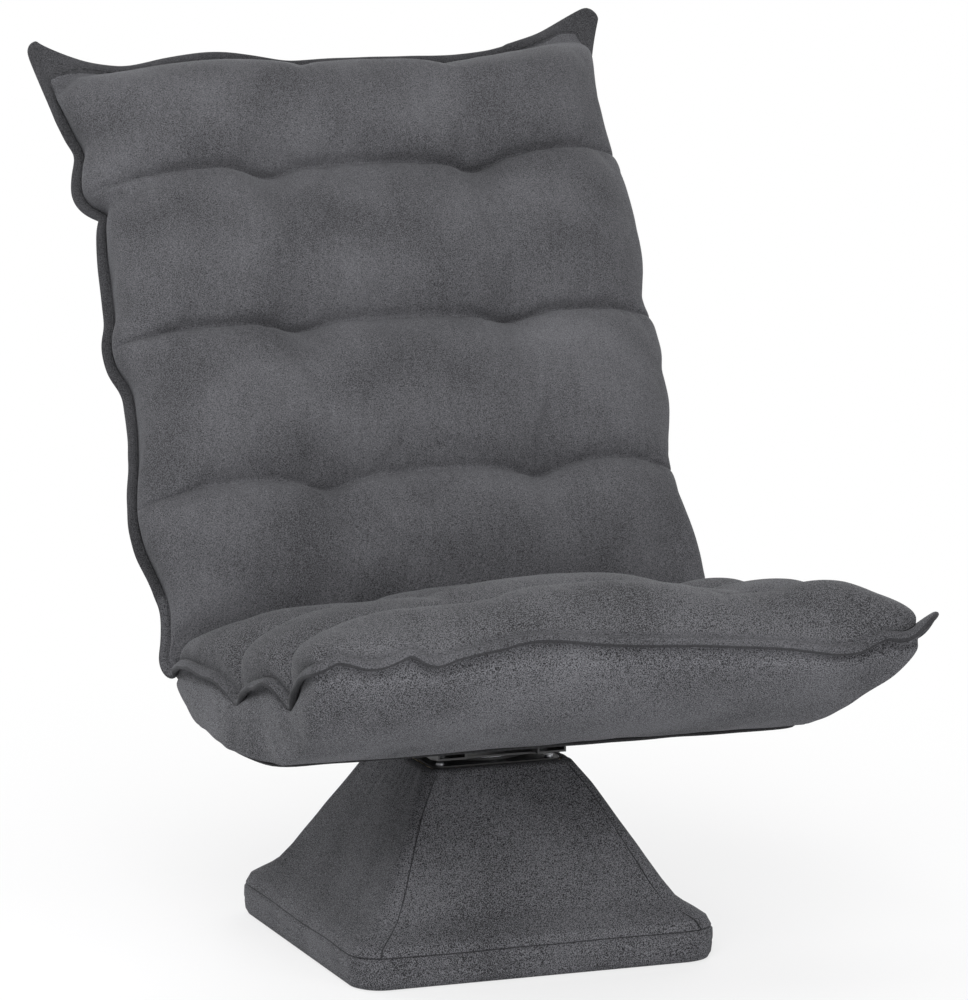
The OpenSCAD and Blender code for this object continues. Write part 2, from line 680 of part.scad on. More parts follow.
// What the mitre at the crease cuts off, so that the back can fold up to its most upright place
mitre = (90 + back_rake - seat_slope + recline_min) / 2;
module mitre_wedge() {
    g = 1 / sin(mitre);
    reach = seat_crown + back_crown;
    rotate([90, 0, 90]) linear_extrude(2 * seat_w, center = true)
        polygon([[g, 0], [g + reach * cos(mitre), reach * sin(mitre)], [-reach / 2, reach * sin(mitre)], [-reach / 2, 0]]);
}

module seat_surround() {
    h0 = -tube_r - 4;
    top = seam_z(foam_front) + 20;
    color(FABRIC) difference() {
        surround_outer();
        along_seat(foam_w, [[surround_rear + 10, bottom_z - 1], [surround_rear + 10, top], [foam_front, top],
                            [foam_front, frame_line(foam_front, h0)], [bend_y, bottom_z - 1]]);
        on_seat() mitre_wedge();
    }
}

module seat_bottom_cloth() {
    cut_w = 2 * (channel_x + channel_w / 2 + 4);
    y0 = front_y + undercut + 8;
    l = surround_rear - 34 - y0;
    color(BLACK) translate([0, y0 + l / 2, bottom_z - 1.5]) difference() {
        rounded_plate(seat_w - 2 * surround_draw - 24, l, 30, 1.5);
        translate([-cut_w / 2, channel_y0 - 4 - y0 - l / 2, -1]) cube([cut_w, channel_y1 - channel_y0 + 8, 4]);
    }
}

// Rear cover of the backrest: a shallow padded shell behind the seam plane
rear_start = 6;
function rear_ring(h, grow) =
    let (w = back_w / 2 - 6 - grow, l0 = rear_start, l1 = back_len - 6 - grow, r = 26)
    [for (c = [0:3]) for (i = [0:5])
        let (a = 90 * c + 90 * i / 5 + 180,
             sx = (c == 1 || c == 2) ? w - r : -w + r,
             sy = (c < 2) ? l0 + (c < 2 ? r : 0) : l1 - r)
        [sx + r * cos(a), sy + r * sin(a), h]];

back_cavity_w = foam_w;
module back_rear_cover() {
    color(BLACK) on_back() difference() {
        loft([for (k = [0:5]) let (a = 90 * k / 5)
            rear_ring(seam_h - rear_t * cos(a), 34 * (1 - sin(a * 0.5 + 45)))]);
        translate([-back_cavity_w / 2, 0, -tube_r - 1])
            cube([back_cavity_w, back_frame_len + rail_over + 6, seam_h + tube_r + 2]);
        rotate([0, 90, 0]) cylinder(r = cheek_r + 2, h = back_w, center = true, $fn = smooth);
        mitre_wedge();
    }
}

// Foam sheet between the straps and the tufted pad
module back_foam() {
    color(FOAM) on_back() translate([-back_cavity_w / 2, rail_start + 4, tube_r + strap_t])
        cube([back_cavity_w, back_frame_len + rail_over + 2 - rail_start, seam_h - tube_r - strap_t]);
}

base_underlay();
base_bottom_board();
base_plinth_rails();
base_panel_front();
base_panel_rear();
base_panel_left();
base_panel_right();
base_top_board();
base_foam();
base_cover();
turntable_lower_plate();
turntable_pivot();
turntable_screws();
ball_cage();
turntable_balls();
turntable_upper_plate();
turntable_bolts();
swivel_channel_left();
swivel_channel_right();
seat_rail_left();
seat_rail_right();
seat_front_tube();
seat_middle_tube();
seat_rear_tube();
hinge_cheeks_left();
hinge_cheeks_right();
hinge_rivets();
hinge_pawls();
seat_webbing();
seat_foam();
seat_surround();
seat_bottom_cloth();
seat_cushion();
ratchet_plate_left();
ratchet_plate_right();
back_stile_left();
back_stile_right();
back_top_tube();
back_cross_tubes();
back_webbing();
back_foam();
back_rear_cover();
back_cushion();
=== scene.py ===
import bpy
import math
import numpy as np
from mathutils import Matrix, Vector, noise


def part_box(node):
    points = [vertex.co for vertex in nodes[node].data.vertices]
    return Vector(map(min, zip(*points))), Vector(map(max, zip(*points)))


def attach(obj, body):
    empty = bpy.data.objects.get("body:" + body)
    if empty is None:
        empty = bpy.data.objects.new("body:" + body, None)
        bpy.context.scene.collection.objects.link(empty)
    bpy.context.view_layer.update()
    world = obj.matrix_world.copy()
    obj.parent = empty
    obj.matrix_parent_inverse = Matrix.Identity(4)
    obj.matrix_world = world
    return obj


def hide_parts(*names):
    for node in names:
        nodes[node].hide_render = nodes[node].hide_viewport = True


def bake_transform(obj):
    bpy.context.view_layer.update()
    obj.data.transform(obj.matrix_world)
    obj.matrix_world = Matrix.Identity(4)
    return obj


# Swivel reclining lounge chair: the fabric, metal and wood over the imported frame.
# Lengths are in metres. The chair faces -Y, +Z is up, and +X is the sitter's left. In the names
# and comments below, left and right are as the photograph shows them, so left is -X.
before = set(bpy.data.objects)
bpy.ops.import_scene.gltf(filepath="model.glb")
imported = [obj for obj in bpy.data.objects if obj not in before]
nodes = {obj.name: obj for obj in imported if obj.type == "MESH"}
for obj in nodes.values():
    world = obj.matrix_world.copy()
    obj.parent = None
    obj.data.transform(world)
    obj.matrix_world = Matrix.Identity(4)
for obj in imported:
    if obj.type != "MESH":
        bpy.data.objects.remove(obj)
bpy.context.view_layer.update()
scene = bpy.context.scene

# Camera: a long lens about five metres away, low and to the chair's right-hand side,
# as the photograph was taken.
camera_turn = math.radians(-20.68)
camera_rise = math.radians(8.96)
camera_away = 5.0
view_right = Vector((math.cos(camera_turn), math.sin(camera_turn), 0))
view_back = Vector((math.sin(camera_turn) * math.cos(camera_rise),
                    -math.cos(camera_turn) * math.cos(camera_rise), math.sin(camera_rise)))
view_up = view_back.cross(view_right)
chair_middle = Vector((0, 0, 0.42))
looked_at = chair_middle + view_right * 0.0097 + view_up * 0.0177
camera_data = bpy.data.cameras.new("camera")
camera_data.lens = 183.0
camera_data.sensor_width = 36.0
camera_data.clip_end = 200.0
camera = bpy.data.objects.new("camera", camera_data)
camera.matrix_world = Matrix.Translation(looked_at + view_back * camera_away) @ Matrix(
    (view_right, view_up, view_back)).transposed().to_4x4()
scene.collection.objects.link(camera)
scene.camera = camera

# Studio light: large soft lamps all round, so that the chair reads the same from every side,
# with the strongest from the front left and above.
# For each lamp: name, place, width of its square and power in watts.
lamp_aim = Vector((0, 0, 0.4))
lamps = [("key", (-1.7, -3.6, 3.1), 2.2, 150), ("fill", (1.9, -4.4, 1.0), 2.2, 68),
         ("left", (-2.8, -0.5, 4.0), 2.2, 40), ("top", (0.0, -0.4, 4.2), 2.5, 30),
         ("rear_left", (-2.8, 3.4, 2.4), 3.0, 70), ("rear_right", (2.8, 3.4, 2.4), 3.0, 70)]
for name, place, width, power in lamps:
    lamp = bpy.data.lights.new(name, "AREA")
    lamp.size = width
    lamp.energy = power
    holder = bpy.data.objects.new(name, lamp)
    holder.location = place
    holder.rotation_euler = (lamp_aim - Vector(place)).to_track_quat("-Z", "Y").to_euler()
    scene.collection.objects.link(holder)
scene.view_settings.view_transform = "Standard"


def new_material(name):
    """A new material, with its tree and its Principled shader."""
    material = bpy.data.materials.new(name)
    material.use_nodes = True
    tree = material.node_tree
    tree.nodes.clear()
    output = tree.nodes.new("ShaderNodeOutputMaterial")
    shader = tree.nodes.new("ShaderNodeBsdfPrincipled")
    tree.links.new(shader.outputs[0], output.inputs[0])
    return material, tree, shader


def set_inputs(node, **values):
    """Sets a node's own inputs by name, written with _ in place of each space."""
    for label, value in values.items():
        node.inputs[label.replace("_", " ")].default_value = value
    return node


def join(tree, *pairs):
    """Links each output to its input."""
    for source, target in pairs:
        tree.links.new(source, target)


def own_place(tree):
    """The object's own coordinates."""
    return tree.nodes.new("ShaderNodeTexCoord").outputs["Object"]


def stretched_place(tree, scale):
    """The object's own coordinates, each axis times its part of the scale."""
    mapping = set_inputs(tree.nodes.new("ShaderNodeMapping"), Scale=scale)
    join(tree, (own_place(tree), mapping.inputs["Vector"]))
    return mapping.outputs[0]


def math_node(tree, operation, a, b):
    made = tree.nodes.new("ShaderNodeMath")
    made.operation = operation
    for socket, value in ((made.inputs[0], a), (made.inputs[1], b)):
        if isinstance(value, (int, float)):
            socket.default_value = value
        else:
            tree.links.new(value, socket)
    return made.outputs[0]


def weighted_sum(tree, a, a_share, b, b_share):
    return math_node(tree, "ADD", math_node(tree, "MULTIPLY", a, a_share), math_node(tree, "MULTIPLY", b, b_share))


# Backdrop: a white studio world and a pale floor that keeps the chair's soft shadow.
world = bpy.data.worlds.new("studio")
scene.world = world
world.use_nodes = True
tree = world.node_tree
tree.nodes.clear()
world_out = tree.nodes.new("ShaderNodeOutputWorld")
seen = tree.nodes.new("ShaderNodeLightPath")
either = math_node(tree, "MAXIMUM", seen.outputs["Is Camera Ray"], seen.outputs["Is Glossy Ray"])
any_of = math_node(tree, "MAXIMUM", either, seen.outputs["Is Transmission Ray"])
strength = set_inputs(tree.nodes.new("ShaderNodeMapRange"), To_Min=0.29, To_Max=1.0)
sky = set_inputs(tree.nodes.new("ShaderNodeBackground"), Color=(1, 1, 1, 1))
join(tree, (any_of, strength.inputs["Value"]), (strength.outputs[0], sky.inputs["Strength"]),
     (sky.outputs[0], world_out.inputs[0]))

floor_mesh = bpy.data.meshes.new("studio_floor")
floor_half = 70.0
floor_mesh.from_pydata([(-floor_half, -floor_half, 0), (floor_half, -floor_half, 0),
                        (floor_half, floor_half, 0), (-floor_half, floor_half, 0)], [], [(0, 1, 2, 3)])
floor = bpy.data.objects.new("studio_floor", floor_mesh)
scene.collection.objects.link(floor)
floor_material, tree, shader = new_material("studio_floor")
floor_mesh.materials.append(floor_material)
set_inputs(shader, Base_Color=(0.86, 0.86, 0.87, 1), Roughness=0.9)
seen = tree.nodes.new("ShaderNodeLightPath")
glow = tree.nodes.new("ShaderNodeEmission")
mix = tree.nodes.new("ShaderNodeMixShader")
from_chair = tree.nodes.new("ShaderNodeVectorMath")
from_chair.operation = "LENGTH"
# The floor glows whiter with the distance from the chair, until it meets the white of the world
whiter = set_inputs(tree.nodes.new("ShaderNodeMapRange"), From_Min=0.25, From_Max=1.5, To_Min=0.70, To_Max=1.0)
whiter.interpolation_type = "SMOOTHSTEP"
share = math_node(tree, "MULTIPLY", seen.outputs["Is Camera Ray"], whiter.outputs[0])
join(tree, (own_place(tree), from_chair.inputs[0]), (from_chair.outputs["Value"], whiter.inputs["Value"]),
     (share, mix.inputs[0]), (shader.outputs[0], mix.inputs[1]), (glow.outputs[0], mix.inputs[2]),
     (mix.outputs[0], tree.nodes["Material Output"].inputs[0]))


def hump(x, at, width):
    """A smooth hump of height 1 at a place, down to about a third at its width on either side."""
    return np.exp(-((x - at) / width) ** 2)


def ramp(x, start, length):
    """Rises evenly from 0 at its start to 1 after its length."""
    return np.clip((x - start) / length, 0, 1)


# Base: a plywood box under a fitted cover of slate suede. The cover is four sloping panels
# sewn together beside the ridges and seamed to a band that is pulled round the plinth.
def wobble(x, y, z, size, seed=0.0):
    """Smooth unevenness between -1 and 1 at a place, with bumps of about the given size."""
    return noise.noise(Vector((x / size + seed, y / size - seed, z / size)))


def mesh_object(name, points, faces, smooth=True):
    mesh = bpy.data.meshes.new(name)
    mesh.from_pydata([tuple(p) for p in points], [], [tuple(f) for f in faces])
    mesh.update()
    if smooth:
        mesh.polygons.foreach_set("use_smooth", [True] * len(mesh.polygons))
    made = bpy.data.objects.new(name, mesh)
    scene.collection.objects.link(made)
    return made


def strip_faces(rows, columns, closed, looped=False):
    """Quads over a grid of rows by columns; closed joins the last column to the first, looped the rows."""
    faces = []
    for j in range(rows if looped else rows - 1):
        m = (j + 1) % rows
        for i in range(columns if closed else columns - 1):
            k = (i + 1) % columns
            faces.append((j * columns + i, j * columns + k, m * columns + k, m * columns + i))
    return faces


def unit(vectors):
    """The same directions with length 1."""
    return vectors / np.linalg.norm(vectors, axis=-1, keepdims=True)


def dots(a, b):
    """Products of matching vectors, kept as a column."""
    return np.sum(a * b, axis=-1, keepdims=True)


# Outline of the cover: heights, half widths and radii of the upright edges
base_levels = np.array([0.0014, 0.0064, 0.0144, 0.0166, 0.0198, 0.029, 0.0318, 0.0334, 0.0414, 0.0476, 0.0538,
                        0.0595, 0.075, 0.122, 0.165, 0.181, 0.186])
base_halves = np.array([0.1848, 0.1875, 0.1878, 0.1873, 0.188, 0.1878, 0.1852, 0.1862, 0.1816, 0.172, 0.1618,
                        0.1545, 0.1438, 0.1158, 0.0894, 0.0785, 0.075])
base_rounds = np.array([0.031, 0.034, 0.034, 0.033, 0.034, 0.034, 0.032, 0.032, 0.028, 0.022, 0.016,
                        0.013, 0.0115, 0.010, 0.009, 0.0085, 0.008])
base_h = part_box("base_cover")[1][2]
foot_top = 0.06
levels = np.unique(np.concatenate([base_levels, np.linspace(base_levels[0], foot_top, 46),
                                   np.linspace(foot_top, base_h, 44)]))
levels = levels[levels <= base_h + 1e-6]
# Places across each face, closer together near the ridges
near_ridge = 0.72
face_at = np.concatenate([np.linspace(-1, -near_ridge, 22)[:-1], np.linspace(-near_ridge, near_ridge, 26),
                          np.linspace(near_ridge, 1, 22)[1:]])
round_steps = 12
band_z = 0.0325  # seam between the panels and the band
points = []
for z in levels:
    half = np.interp(z, base_levels, base_halves)
    r = np.interp(z, base_levels, base_rounds)
    ring = []
    for side in range(4):
        turn = side * math.pi / 2
        along = Vector((-math.sin(turn), math.cos(turn), 0))
        out = Vector((math.cos(turn), math.sin(turn), 0))
        for t in face_at:
            x = t * (half - r)
            ring.append((out * half + along * x, out))
        for i in range(1, round_steps):
            a = turn + (math.pi / 2) * i / round_steps
            normal = Vector((math.cos(a), math.sin(a), 0))
            centre = (out + along) * (half - r)
            ring.append((centre + normal * r, normal))
    for p, normal in ring:
        x, y = p.x, p.y
        slack = ramp(z, 0.004, 0.02)
        push = 0.0013 * (0.8 + wobble(x, y, z, 0.09)) + 0.0006 * (0.8 + wobble(x, y, z, 0.03, 5.0))
        push += 0.0016 * (0.7 + wobble(x, y, z * 2.5, 0.05, 9.0)) * hump(z, 0.052, 0.012)
        gathers = 1 + math.sin(40 * math.atan2(y, x) + 3 * wobble(x, y, z, 0.05, 2.0))
        push += 0.0008 * gathers * hump(z, 0.172, 0.02)
        push *= slack
        lift = 0.0012 * wobble(x, y, 0.0, 0.06, 3.0) * hump(z, band_z, 0.006)
        points.append((x + normal.x * push, y + normal.y * push, z + lift))
columns = len(ring)
rows = len(levels)
# The cover is turned in over the edge of the top board, round the turntable's plate
plate_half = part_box("turntable_lower_plate")[1][0]
turned_in = [(0.985, 0.0009), (0.955, 0.0012), ((plate_half + 0.0012) / base_halves[-1], 0.0008)]
rim_points = points[(rows - 1) * columns:rows * columns]
for scale_in, above in turned_in:
    points += [(x * scale_in, y * scale_in, base_h + above) for x, y, z in rim_points]
rows += len(turned_in)
faces = strip_faces(rows, columns, True)
faces.append(tuple(range(columns - 1, -1, -1)))
base_cover = mesh_object("base_cover_sewn", points, faces)
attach(base_cover, "base")
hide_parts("base_cover")


def effect_group(name, inputs, outputs):
    """A shader node group with the named inputs and outputs, and its two end nodes."""
    group = bpy.data.node_groups.new(name, "ShaderNodeTree")
    for label, kind, value in inputs:
        socket = group.interface.new_socket(label, in_out="INPUT", socket_type=kind)
        socket.default_value = value
    for label, kind in outputs:
        group.interface.new_socket(label, in_out="OUTPUT", socket_type=kind)
    return group, group.nodes.new("NodeGroupInput"), group.nodes.new("NodeGroupOutput")


def noise_node(tree, size, detail, roughness=0.5, source=None):
    """Noise over the object's own coordinates, with grains of about the given size."""
    grain = set_inputs(tree.nodes.new("ShaderNodeTexNoise"), Scale=0.5 / size, Detail=detail, Roughness=roughness)
    if source is None:
        source = own_place(tree)
    tree.links.new(source, grain.inputs["Vector"])
    return grain


def mix_tones(tree, factor, ends, result):
    """Mixes a group's Dark and Light by a factor into its Color."""
    mix = tree.nodes.new("ShaderNodeMix")
    mix.data_type = "RGBA"
    join(tree, (factor, mix.inputs["Factor"]), (ends.outputs["Dark"], mix.inputs["A"]),
         (ends.outputs["Light"], mix.inputs["B"]), (mix.outputs["Result"], result.inputs["Color"]))


# Nap of brushed cloth: broad brushed patches, short streaks and a fine speckle of fibre ends
nap, nap_in, nap_out = effect_group(
    "brushed_nap",
    [("Dark", "NodeSocketColor", (0.05, 0.05, 0.05, 1)), ("Light", "NodeSocketColor", (0.12, 0.12, 0.12, 1)),
     ("Speckle", "NodeSocketFloat", 0.4)],
    [("Color", "NodeSocketColor"), ("Height", "NodeSocketFloat")])
patches = noise_node(nap, 0.045, 1.5, 0.45)
streaks = noise_node(nap, 0.0030, 2, 0.5, stretched_place(nap, (1.0, 0.3, 0.22)))
fibres = noise_node(nap, 0.00050, 1, 0.6)
tone = weighted_sum(nap, patches.outputs["Fac"], 0.50, streaks.outputs["Fac"], 0.16)
speck = math_node(nap, "MULTIPLY", math_node(nap, "SUBTRACT", fibres.outputs["Fac"], 0.5),
                  nap_in.outputs["Speckle"])
tone = math_node(nap, "ADD", math_node(nap, "SUBTRACT", tone, 0.33), speck)
spread = set_inputs(nap.nodes.new("ShaderNodeMapRange"), From_Min=-0.34, From_Max=0.34)
nap.links.new(tone, spread.inputs["Value"])
mix_tones(nap, spread.outputs[0], nap_in, nap_out)
join(nap, (weighted_sum(nap, fibres.outputs["Fac"], 0.7, streaks.outputs["Fac"], 0.3), nap_out.inputs["Height"]))


def place_group(tree, group, **values):
    placed = tree.nodes.new("ShaderNodeGroup")
    placed.node_tree = group
    return set_inputs(placed, **values)


def add_bump(tree, shader, height, strength, distance):
    bump = set_inputs(tree.nodes.new("ShaderNodeBump"), Strength=strength, Distance=distance)
    join(tree, (height, bump.inputs["Height"]), (bump.outputs[0], shader.inputs["Normal"]))


def suede(name, dark, light, speckle):
    """Brushed polyester suede: matt, with a faint pale sheen at glancing angles."""
    material, tree, shader = new_material(name)
    surface = place_group(tree, nap, Dark=(*dark, 1), Light=(*light, 1), Speckle=speckle)
    tree.links.new(surface.outputs["Color"], shader.inputs["Base Color"])
    set_inputs(shader, Roughness=0.95, Specular_IOR_Level=0.2, Sheen_Weight=0.05, Sheen_Roughness=0.5,
               Sheen_Tint=(0.75, 0.78, 0.82, 1))
    add_bump(tree, shader, surface.outputs["Height"], 0.55, 0.0009)
    return material


slate_suede = suede("slate_suede", (0.010, 0.010, 0.011), (0.150, 0.150, 0.162), 2.8)
seat_suede = suede("seat_suede", (0.010, 0.010, 0.011), (0.124, 0.124, 0.133), 2.6)
back_suede = suede("back_suede", (0.020, 0.020, 0.022), (0.128, 0.128, 0.138), 1.5)
edge_suede = suede("edge_suede", (0.010, 0.010, 0.011), (0.112, 0.112, 0.121), 1.8)
# Painted shade: a darker copy of the suede for the back's sewn edge, standing in for the shade that edge lies in
shaded_edge_suede = suede("shaded_edge_suede", (0.010, 0.010, 0.011), (0.078, 0.078, 0.084), 1.4)
base_cover.data.materials.append(slate_suede)


def thin_line(path_points, normals_at, half_w, half_h, closed):
    """A flat oval strip swept along points, for sewn seams and hems."""
    n = len(path_points)
    out_points = []
    for k in range(n):
        before = path_points[k - 1] if closed or k else path_points[k]
        after = path_points[(k + 1) % n] if closed or k < n - 1 else path_points[k]
        run = unit(after - before)
        lift = unit(normals_at[k] - run * (normals_at[k] @ run))
        sidewise = np.cross(run, lift)
        for c in range(8):
            w = 2 * math.pi * c / 8
            out_points.append(path_points[k] + sidewise * half_w * math.cos(w) + lift * half_h * math.sin(w))
    out_faces = strip_faces(n, 8, True, closed)
    if not closed:
        out_faces += [tuple(range(7, -1, -1)), tuple((n - 1) * 8 + c for c in range(8))]
    return out_points, out_faces


# Seams: one beside each ridge, on the front and rear faces, and one round the band
seam_lines = []
for front in (-1, 1):
    for side in (-1, 1):
        line, facing = [], []
        for z in np.linspace(band_z + 0.0015, base_h - 0.004, 60):
            half, below, above = np.interp([z, z - 0.003, z + 0.003], base_levels, base_halves)
            seam_in = 0.021 - 0.013 * ramp(z, 0.03, 0.12) + 0.0006 * wobble(z, side, front, 0.03)
            line.append(np.array([side * (half - seam_in), front * (half + 0.0018), z]))
            facing.append(np.array([0, front, (below - above) / 0.006]))
        seam_lines.append(thin_line(line, facing, 0.0005, 0.0010, False))
band_row = int(np.argmin(abs(levels - band_z)))
band_line = [np.array(points[band_row * columns + k]) for k in range(columns)]
seam_lines.append(thin_line(band_line, [np.array([p[0], p[1], 0.0]) for p in band_line], 0.0006, 0.0006, True))
seam_points, seam_faces = [], []
for line_points, line_faces in seam_lines:
    seam_faces += [tuple(v + len(seam_points) for v in f) for f in line_faces]
    seam_points += line_points
base_seams = mesh_object("base_cover_seams", seam_points, seam_faces)
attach(base_seams, "base")
# This dark material stands for the seam's thread and for painted shade in the crease beside it; the lip's tip uses
# it too, as painted shade only
seam_shade = suede("seam_shade", (0.008, 0.008, 0.009), (0.052, 0.052, 0.056), 1.0)
base_seams.data.materials.append(seam_shade)


# Inside of the base: raw birch plywood sides and boards round a foam lining,
# and a black non-slip cloth that the base stands on.
def dress(material, *names):
    """Gives the named frame pieces a material in place of the plain one."""
    for name in names:
        nodes[name].data.materials.clear()
        nodes[name].data.materials.append(material)


def two_tones(tree, shader, factor, dark, light, first=0.0, last=1.0):
    """Colours a shader between two tones, as the factor goes from first to last."""
    tones = tree.nodes.new("ShaderNodeValToRGB")
    for element, position, tone in zip(tones.color_ramp.elements, (first, last), (dark, light)):
        element.position = position
        element.color = (*tone, 1)
    join(tree, (factor, tones.inputs["Fac"]), (tones.outputs["Color"], shader.inputs["Base Color"]))


birch_plywood, tree, shader = new_material("birch_plywood")
set_inputs(shader, Roughness=0.7)
grain = noise_node(tree, 0.03, 5, 0.6, stretched_place(tree, (1.0, 12.0, 12.0)))
two_tones(tree, shader, grain.outputs["Fac"], (0.42, 0.26, 0.13), (0.66, 0.47, 0.28), 0.35, 0.65)
add_bump(tree, shader, grain.outputs["Fac"], 0.2, 0.0005)
dress(birch_plywood, "base_bottom_board", "base_plinth_rails", "base_panel_front", "base_panel_rear",
      "base_panel_left", "base_panel_right", "base_top_board")

cream_foam, tree, shader = new_material("cream_foam")
set_inputs(shader, Roughness=0.95)
pores = set_inputs(tree.nodes.new("ShaderNodeTexVoronoi"), Scale=700.0)
join(tree, (own_place(tree), pores.inputs["Vector"]))
two_tones(tree, shader, pores.outputs["Distance"], (0.62, 0.52, 0.32), (0.86, 0.79, 0.58))
add_bump(tree, shader, pores.outputs["Distance"], 0.5, 0.0006)
dress(cream_foam, "base_foam", "seat_foam", "back_foam")

# Weave of two crossing threads, for straps and the thin black cloths
weave, weave_in, weave_out = effect_group(
    "crossed_threads",
    [("Thread", "NodeSocketFloat", 900.0), ("Dark", "NodeSocketColor", (0.01, 0.01, 0.01, 1)),
     ("Light", "NodeSocketColor", (0.03, 0.03, 0.03, 1))],
    [("Color", "NodeSocketColor"), ("Height", "NodeSocketFloat")])
axes = weave.nodes.new("ShaderNodeSeparateXYZ")
join(weave, (own_place(weave), axes.inputs[0]))
across = math_node(weave, "SINE", math_node(weave, "MULTIPLY", axes.outputs["X"], weave_in.outputs["Thread"]), 0)
run = math_node(weave, "ADD", axes.outputs["Y"], axes.outputs["Z"])
along = math_node(weave, "SINE", math_node(weave, "MULTIPLY", run, weave_in.outputs["Thread"]), 0)
crossing = math_node(weave, "MULTIPLY", math_node(weave, "MULTIPLY", across, along), 0.5)
crossing = math_node(weave, "ADD", crossing, 0.5)
fuzz = noise_node(weave, 0.004, 3)
height = weighted_sum(weave, crossing, 0.6, fuzz.outputs["Fac"], 0.5)
mix_tones(weave, height, weave_in, weave_out)
weave.links.new(height, weave_out.inputs["Height"])


def black_cloth(name, thread, dark, light, roughness):
    material, tree, shader = new_material(name)
    surface = place_group(tree, weave, Thread=thread, Dark=(*dark, 1), Light=(*light, 1))
    tree.links.new(surface.outputs["Color"], shader.inputs["Base Color"])
    set_inputs(shader, Roughness=roughness, Specular_IOR_Level=0.3)
    add_bump(tree, shader, surface.outputs["Height"], 0.5, 0.0005)
    return material


non_slip = black_cloth("non_slip_cloth", 1500.0, (0.008, 0.008, 0.009), (0.03, 0.03, 0.032), 0.85)
elastic_strap = black_cloth("elastic_strap", 2600.0, (0.012, 0.012, 0.013), (0.05, 0.05, 0.052), 0.75)
dust_cloth = black_cloth("black_dust_cloth", 1100.0, (0.006, 0.006, 0.007), (0.022, 0.022, 0.024), 0.8)
dress(non_slip, "base_underlay")
dress(elastic_strap, "seat_webbing", "back_webbing")


# Turntable and frame: pressed plates, channels and tubes in satin black powder coat, with balls,
# cage, rivet, screws and hinge plates in bright zinc.
coat, coat_in, coat_out = effect_group(
    "powder_coat",
    [("Dark", "NodeSocketColor", (0.01, 0.01, 0.01, 1)), ("Light", "NodeSocketColor", (0.02, 0.02, 0.02, 1)),
     ("Gloss", "NodeSocketFloat", 0.4)],
    [("Color", "NodeSocketColor"), ("Roughness", "NodeSocketFloat"), ("Height", "NodeSocketFloat")])
peel = noise_node(coat, 0.0012, 2)
marks = noise_node(coat, 0.02, 4, 0.65)
mix_tones(coat, marks.outputs["Fac"], coat_in, coat_out)
worn = math_node(coat, "MULTIPLY", math_node(coat, "SUBTRACT", marks.outputs["Fac"], 0.5), 0.3)
join(coat, (math_node(coat, "ADD", coat_in.outputs["Gloss"], worn), coat_out.inputs["Roughness"]),
     (peel.outputs["Fac"], coat_out.inputs["Height"]))


def coated_metal(name, dark, light, gloss, metallic, bump):
    material, tree, shader = new_material(name)
    surface = place_group(tree, coat, Dark=(*dark, 1), Light=(*light, 1), Gloss=gloss)
    join(tree, (surface.outputs["Color"], shader.inputs["Base Color"]),
         (surface.outputs["Roughness"], shader.inputs["Roughness"]))
    set_inputs(shader, Metallic=metallic)
    add_bump(tree, shader, surface.outputs["Height"], bump, 0.0003)
    return material


black_coat = coated_metal("black_powder_coat", (0.008, 0.008, 0.009), (0.016, 0.016, 0.017), 0.5, 0.0, 0.35)
zinc = coated_metal("bright_zinc", (0.42, 0.43, 0.46), (0.62, 0.63, 0.65), 0.3, 1.0, 0.15)
dress(black_coat, "turntable_lower_plate", "turntable_upper_plate", "swivel_channel_left", "swivel_channel_right",
      "seat_rail_left", "seat_rail_right", "seat_front_tube", "seat_middle_tube", "seat_rear_tube",
      "back_stile_left", "back_stile_right", "back_top_tube", "back_cross_tubes")
dress(zinc, "turntable_pivot", "turntable_screws", "turntable_bolts", "ball_cage", "turntable_balls",
      "hinge_cheeks_left", "hinge_cheeks_right", "hinge_rivets", "hinge_pawls",
      "ratchet_plate_left", "ratchet_plate_right")


# Face of the pad: one sheet of suede over foam and fibre that runs from the top of the back through
# the crease to the front of the seat. Seams across it are sewn down, deeper at the two tufts of each.
hinge = np.array([0.0, 0.068, 0.246])
rake_degrees, slope_degrees = 33.5, 8.0  # the back behind the upright, the seat's rise to its front
rake, slope = math.radians(rake_degrees), math.radians(slope_degrees)
back_up = np.array([0.0, math.sin(rake), math.cos(rake)])
back_out = np.array([0.0, -math.cos(rake), math.sin(rake)])
seat_on = np.array([0.0, -math.cos(slope), math.sin(slope)])
seat_out = np.array([0.0, math.sin(slope), math.cos(slope)])
seam_h = 0.028  # plane of the sewn edge above the hinge
crease = seam_h / math.tan(math.radians(90 + rake_degrees - slope_degrees) / 2)
back_top = 0.690
seat_front = 0.474
tuft_x = 0.115
mean_half = 0.292
# Cross seams at places along the pad. Each bows between its tufts, and its thread pulls the cover down
back_seams = [0.182, 0.360, 0.534]
seat_seams = [0.212, 0.356]
seam_bows = dict(zip(back_seams + seat_seams, [0.010, 0.004, 0.008, 0.0, 0.0]))
seam_pulls = dict(zip(back_seams + seat_seams, [0.0015, 0.0050, 0.0045, 0.0035, 0.0040]))

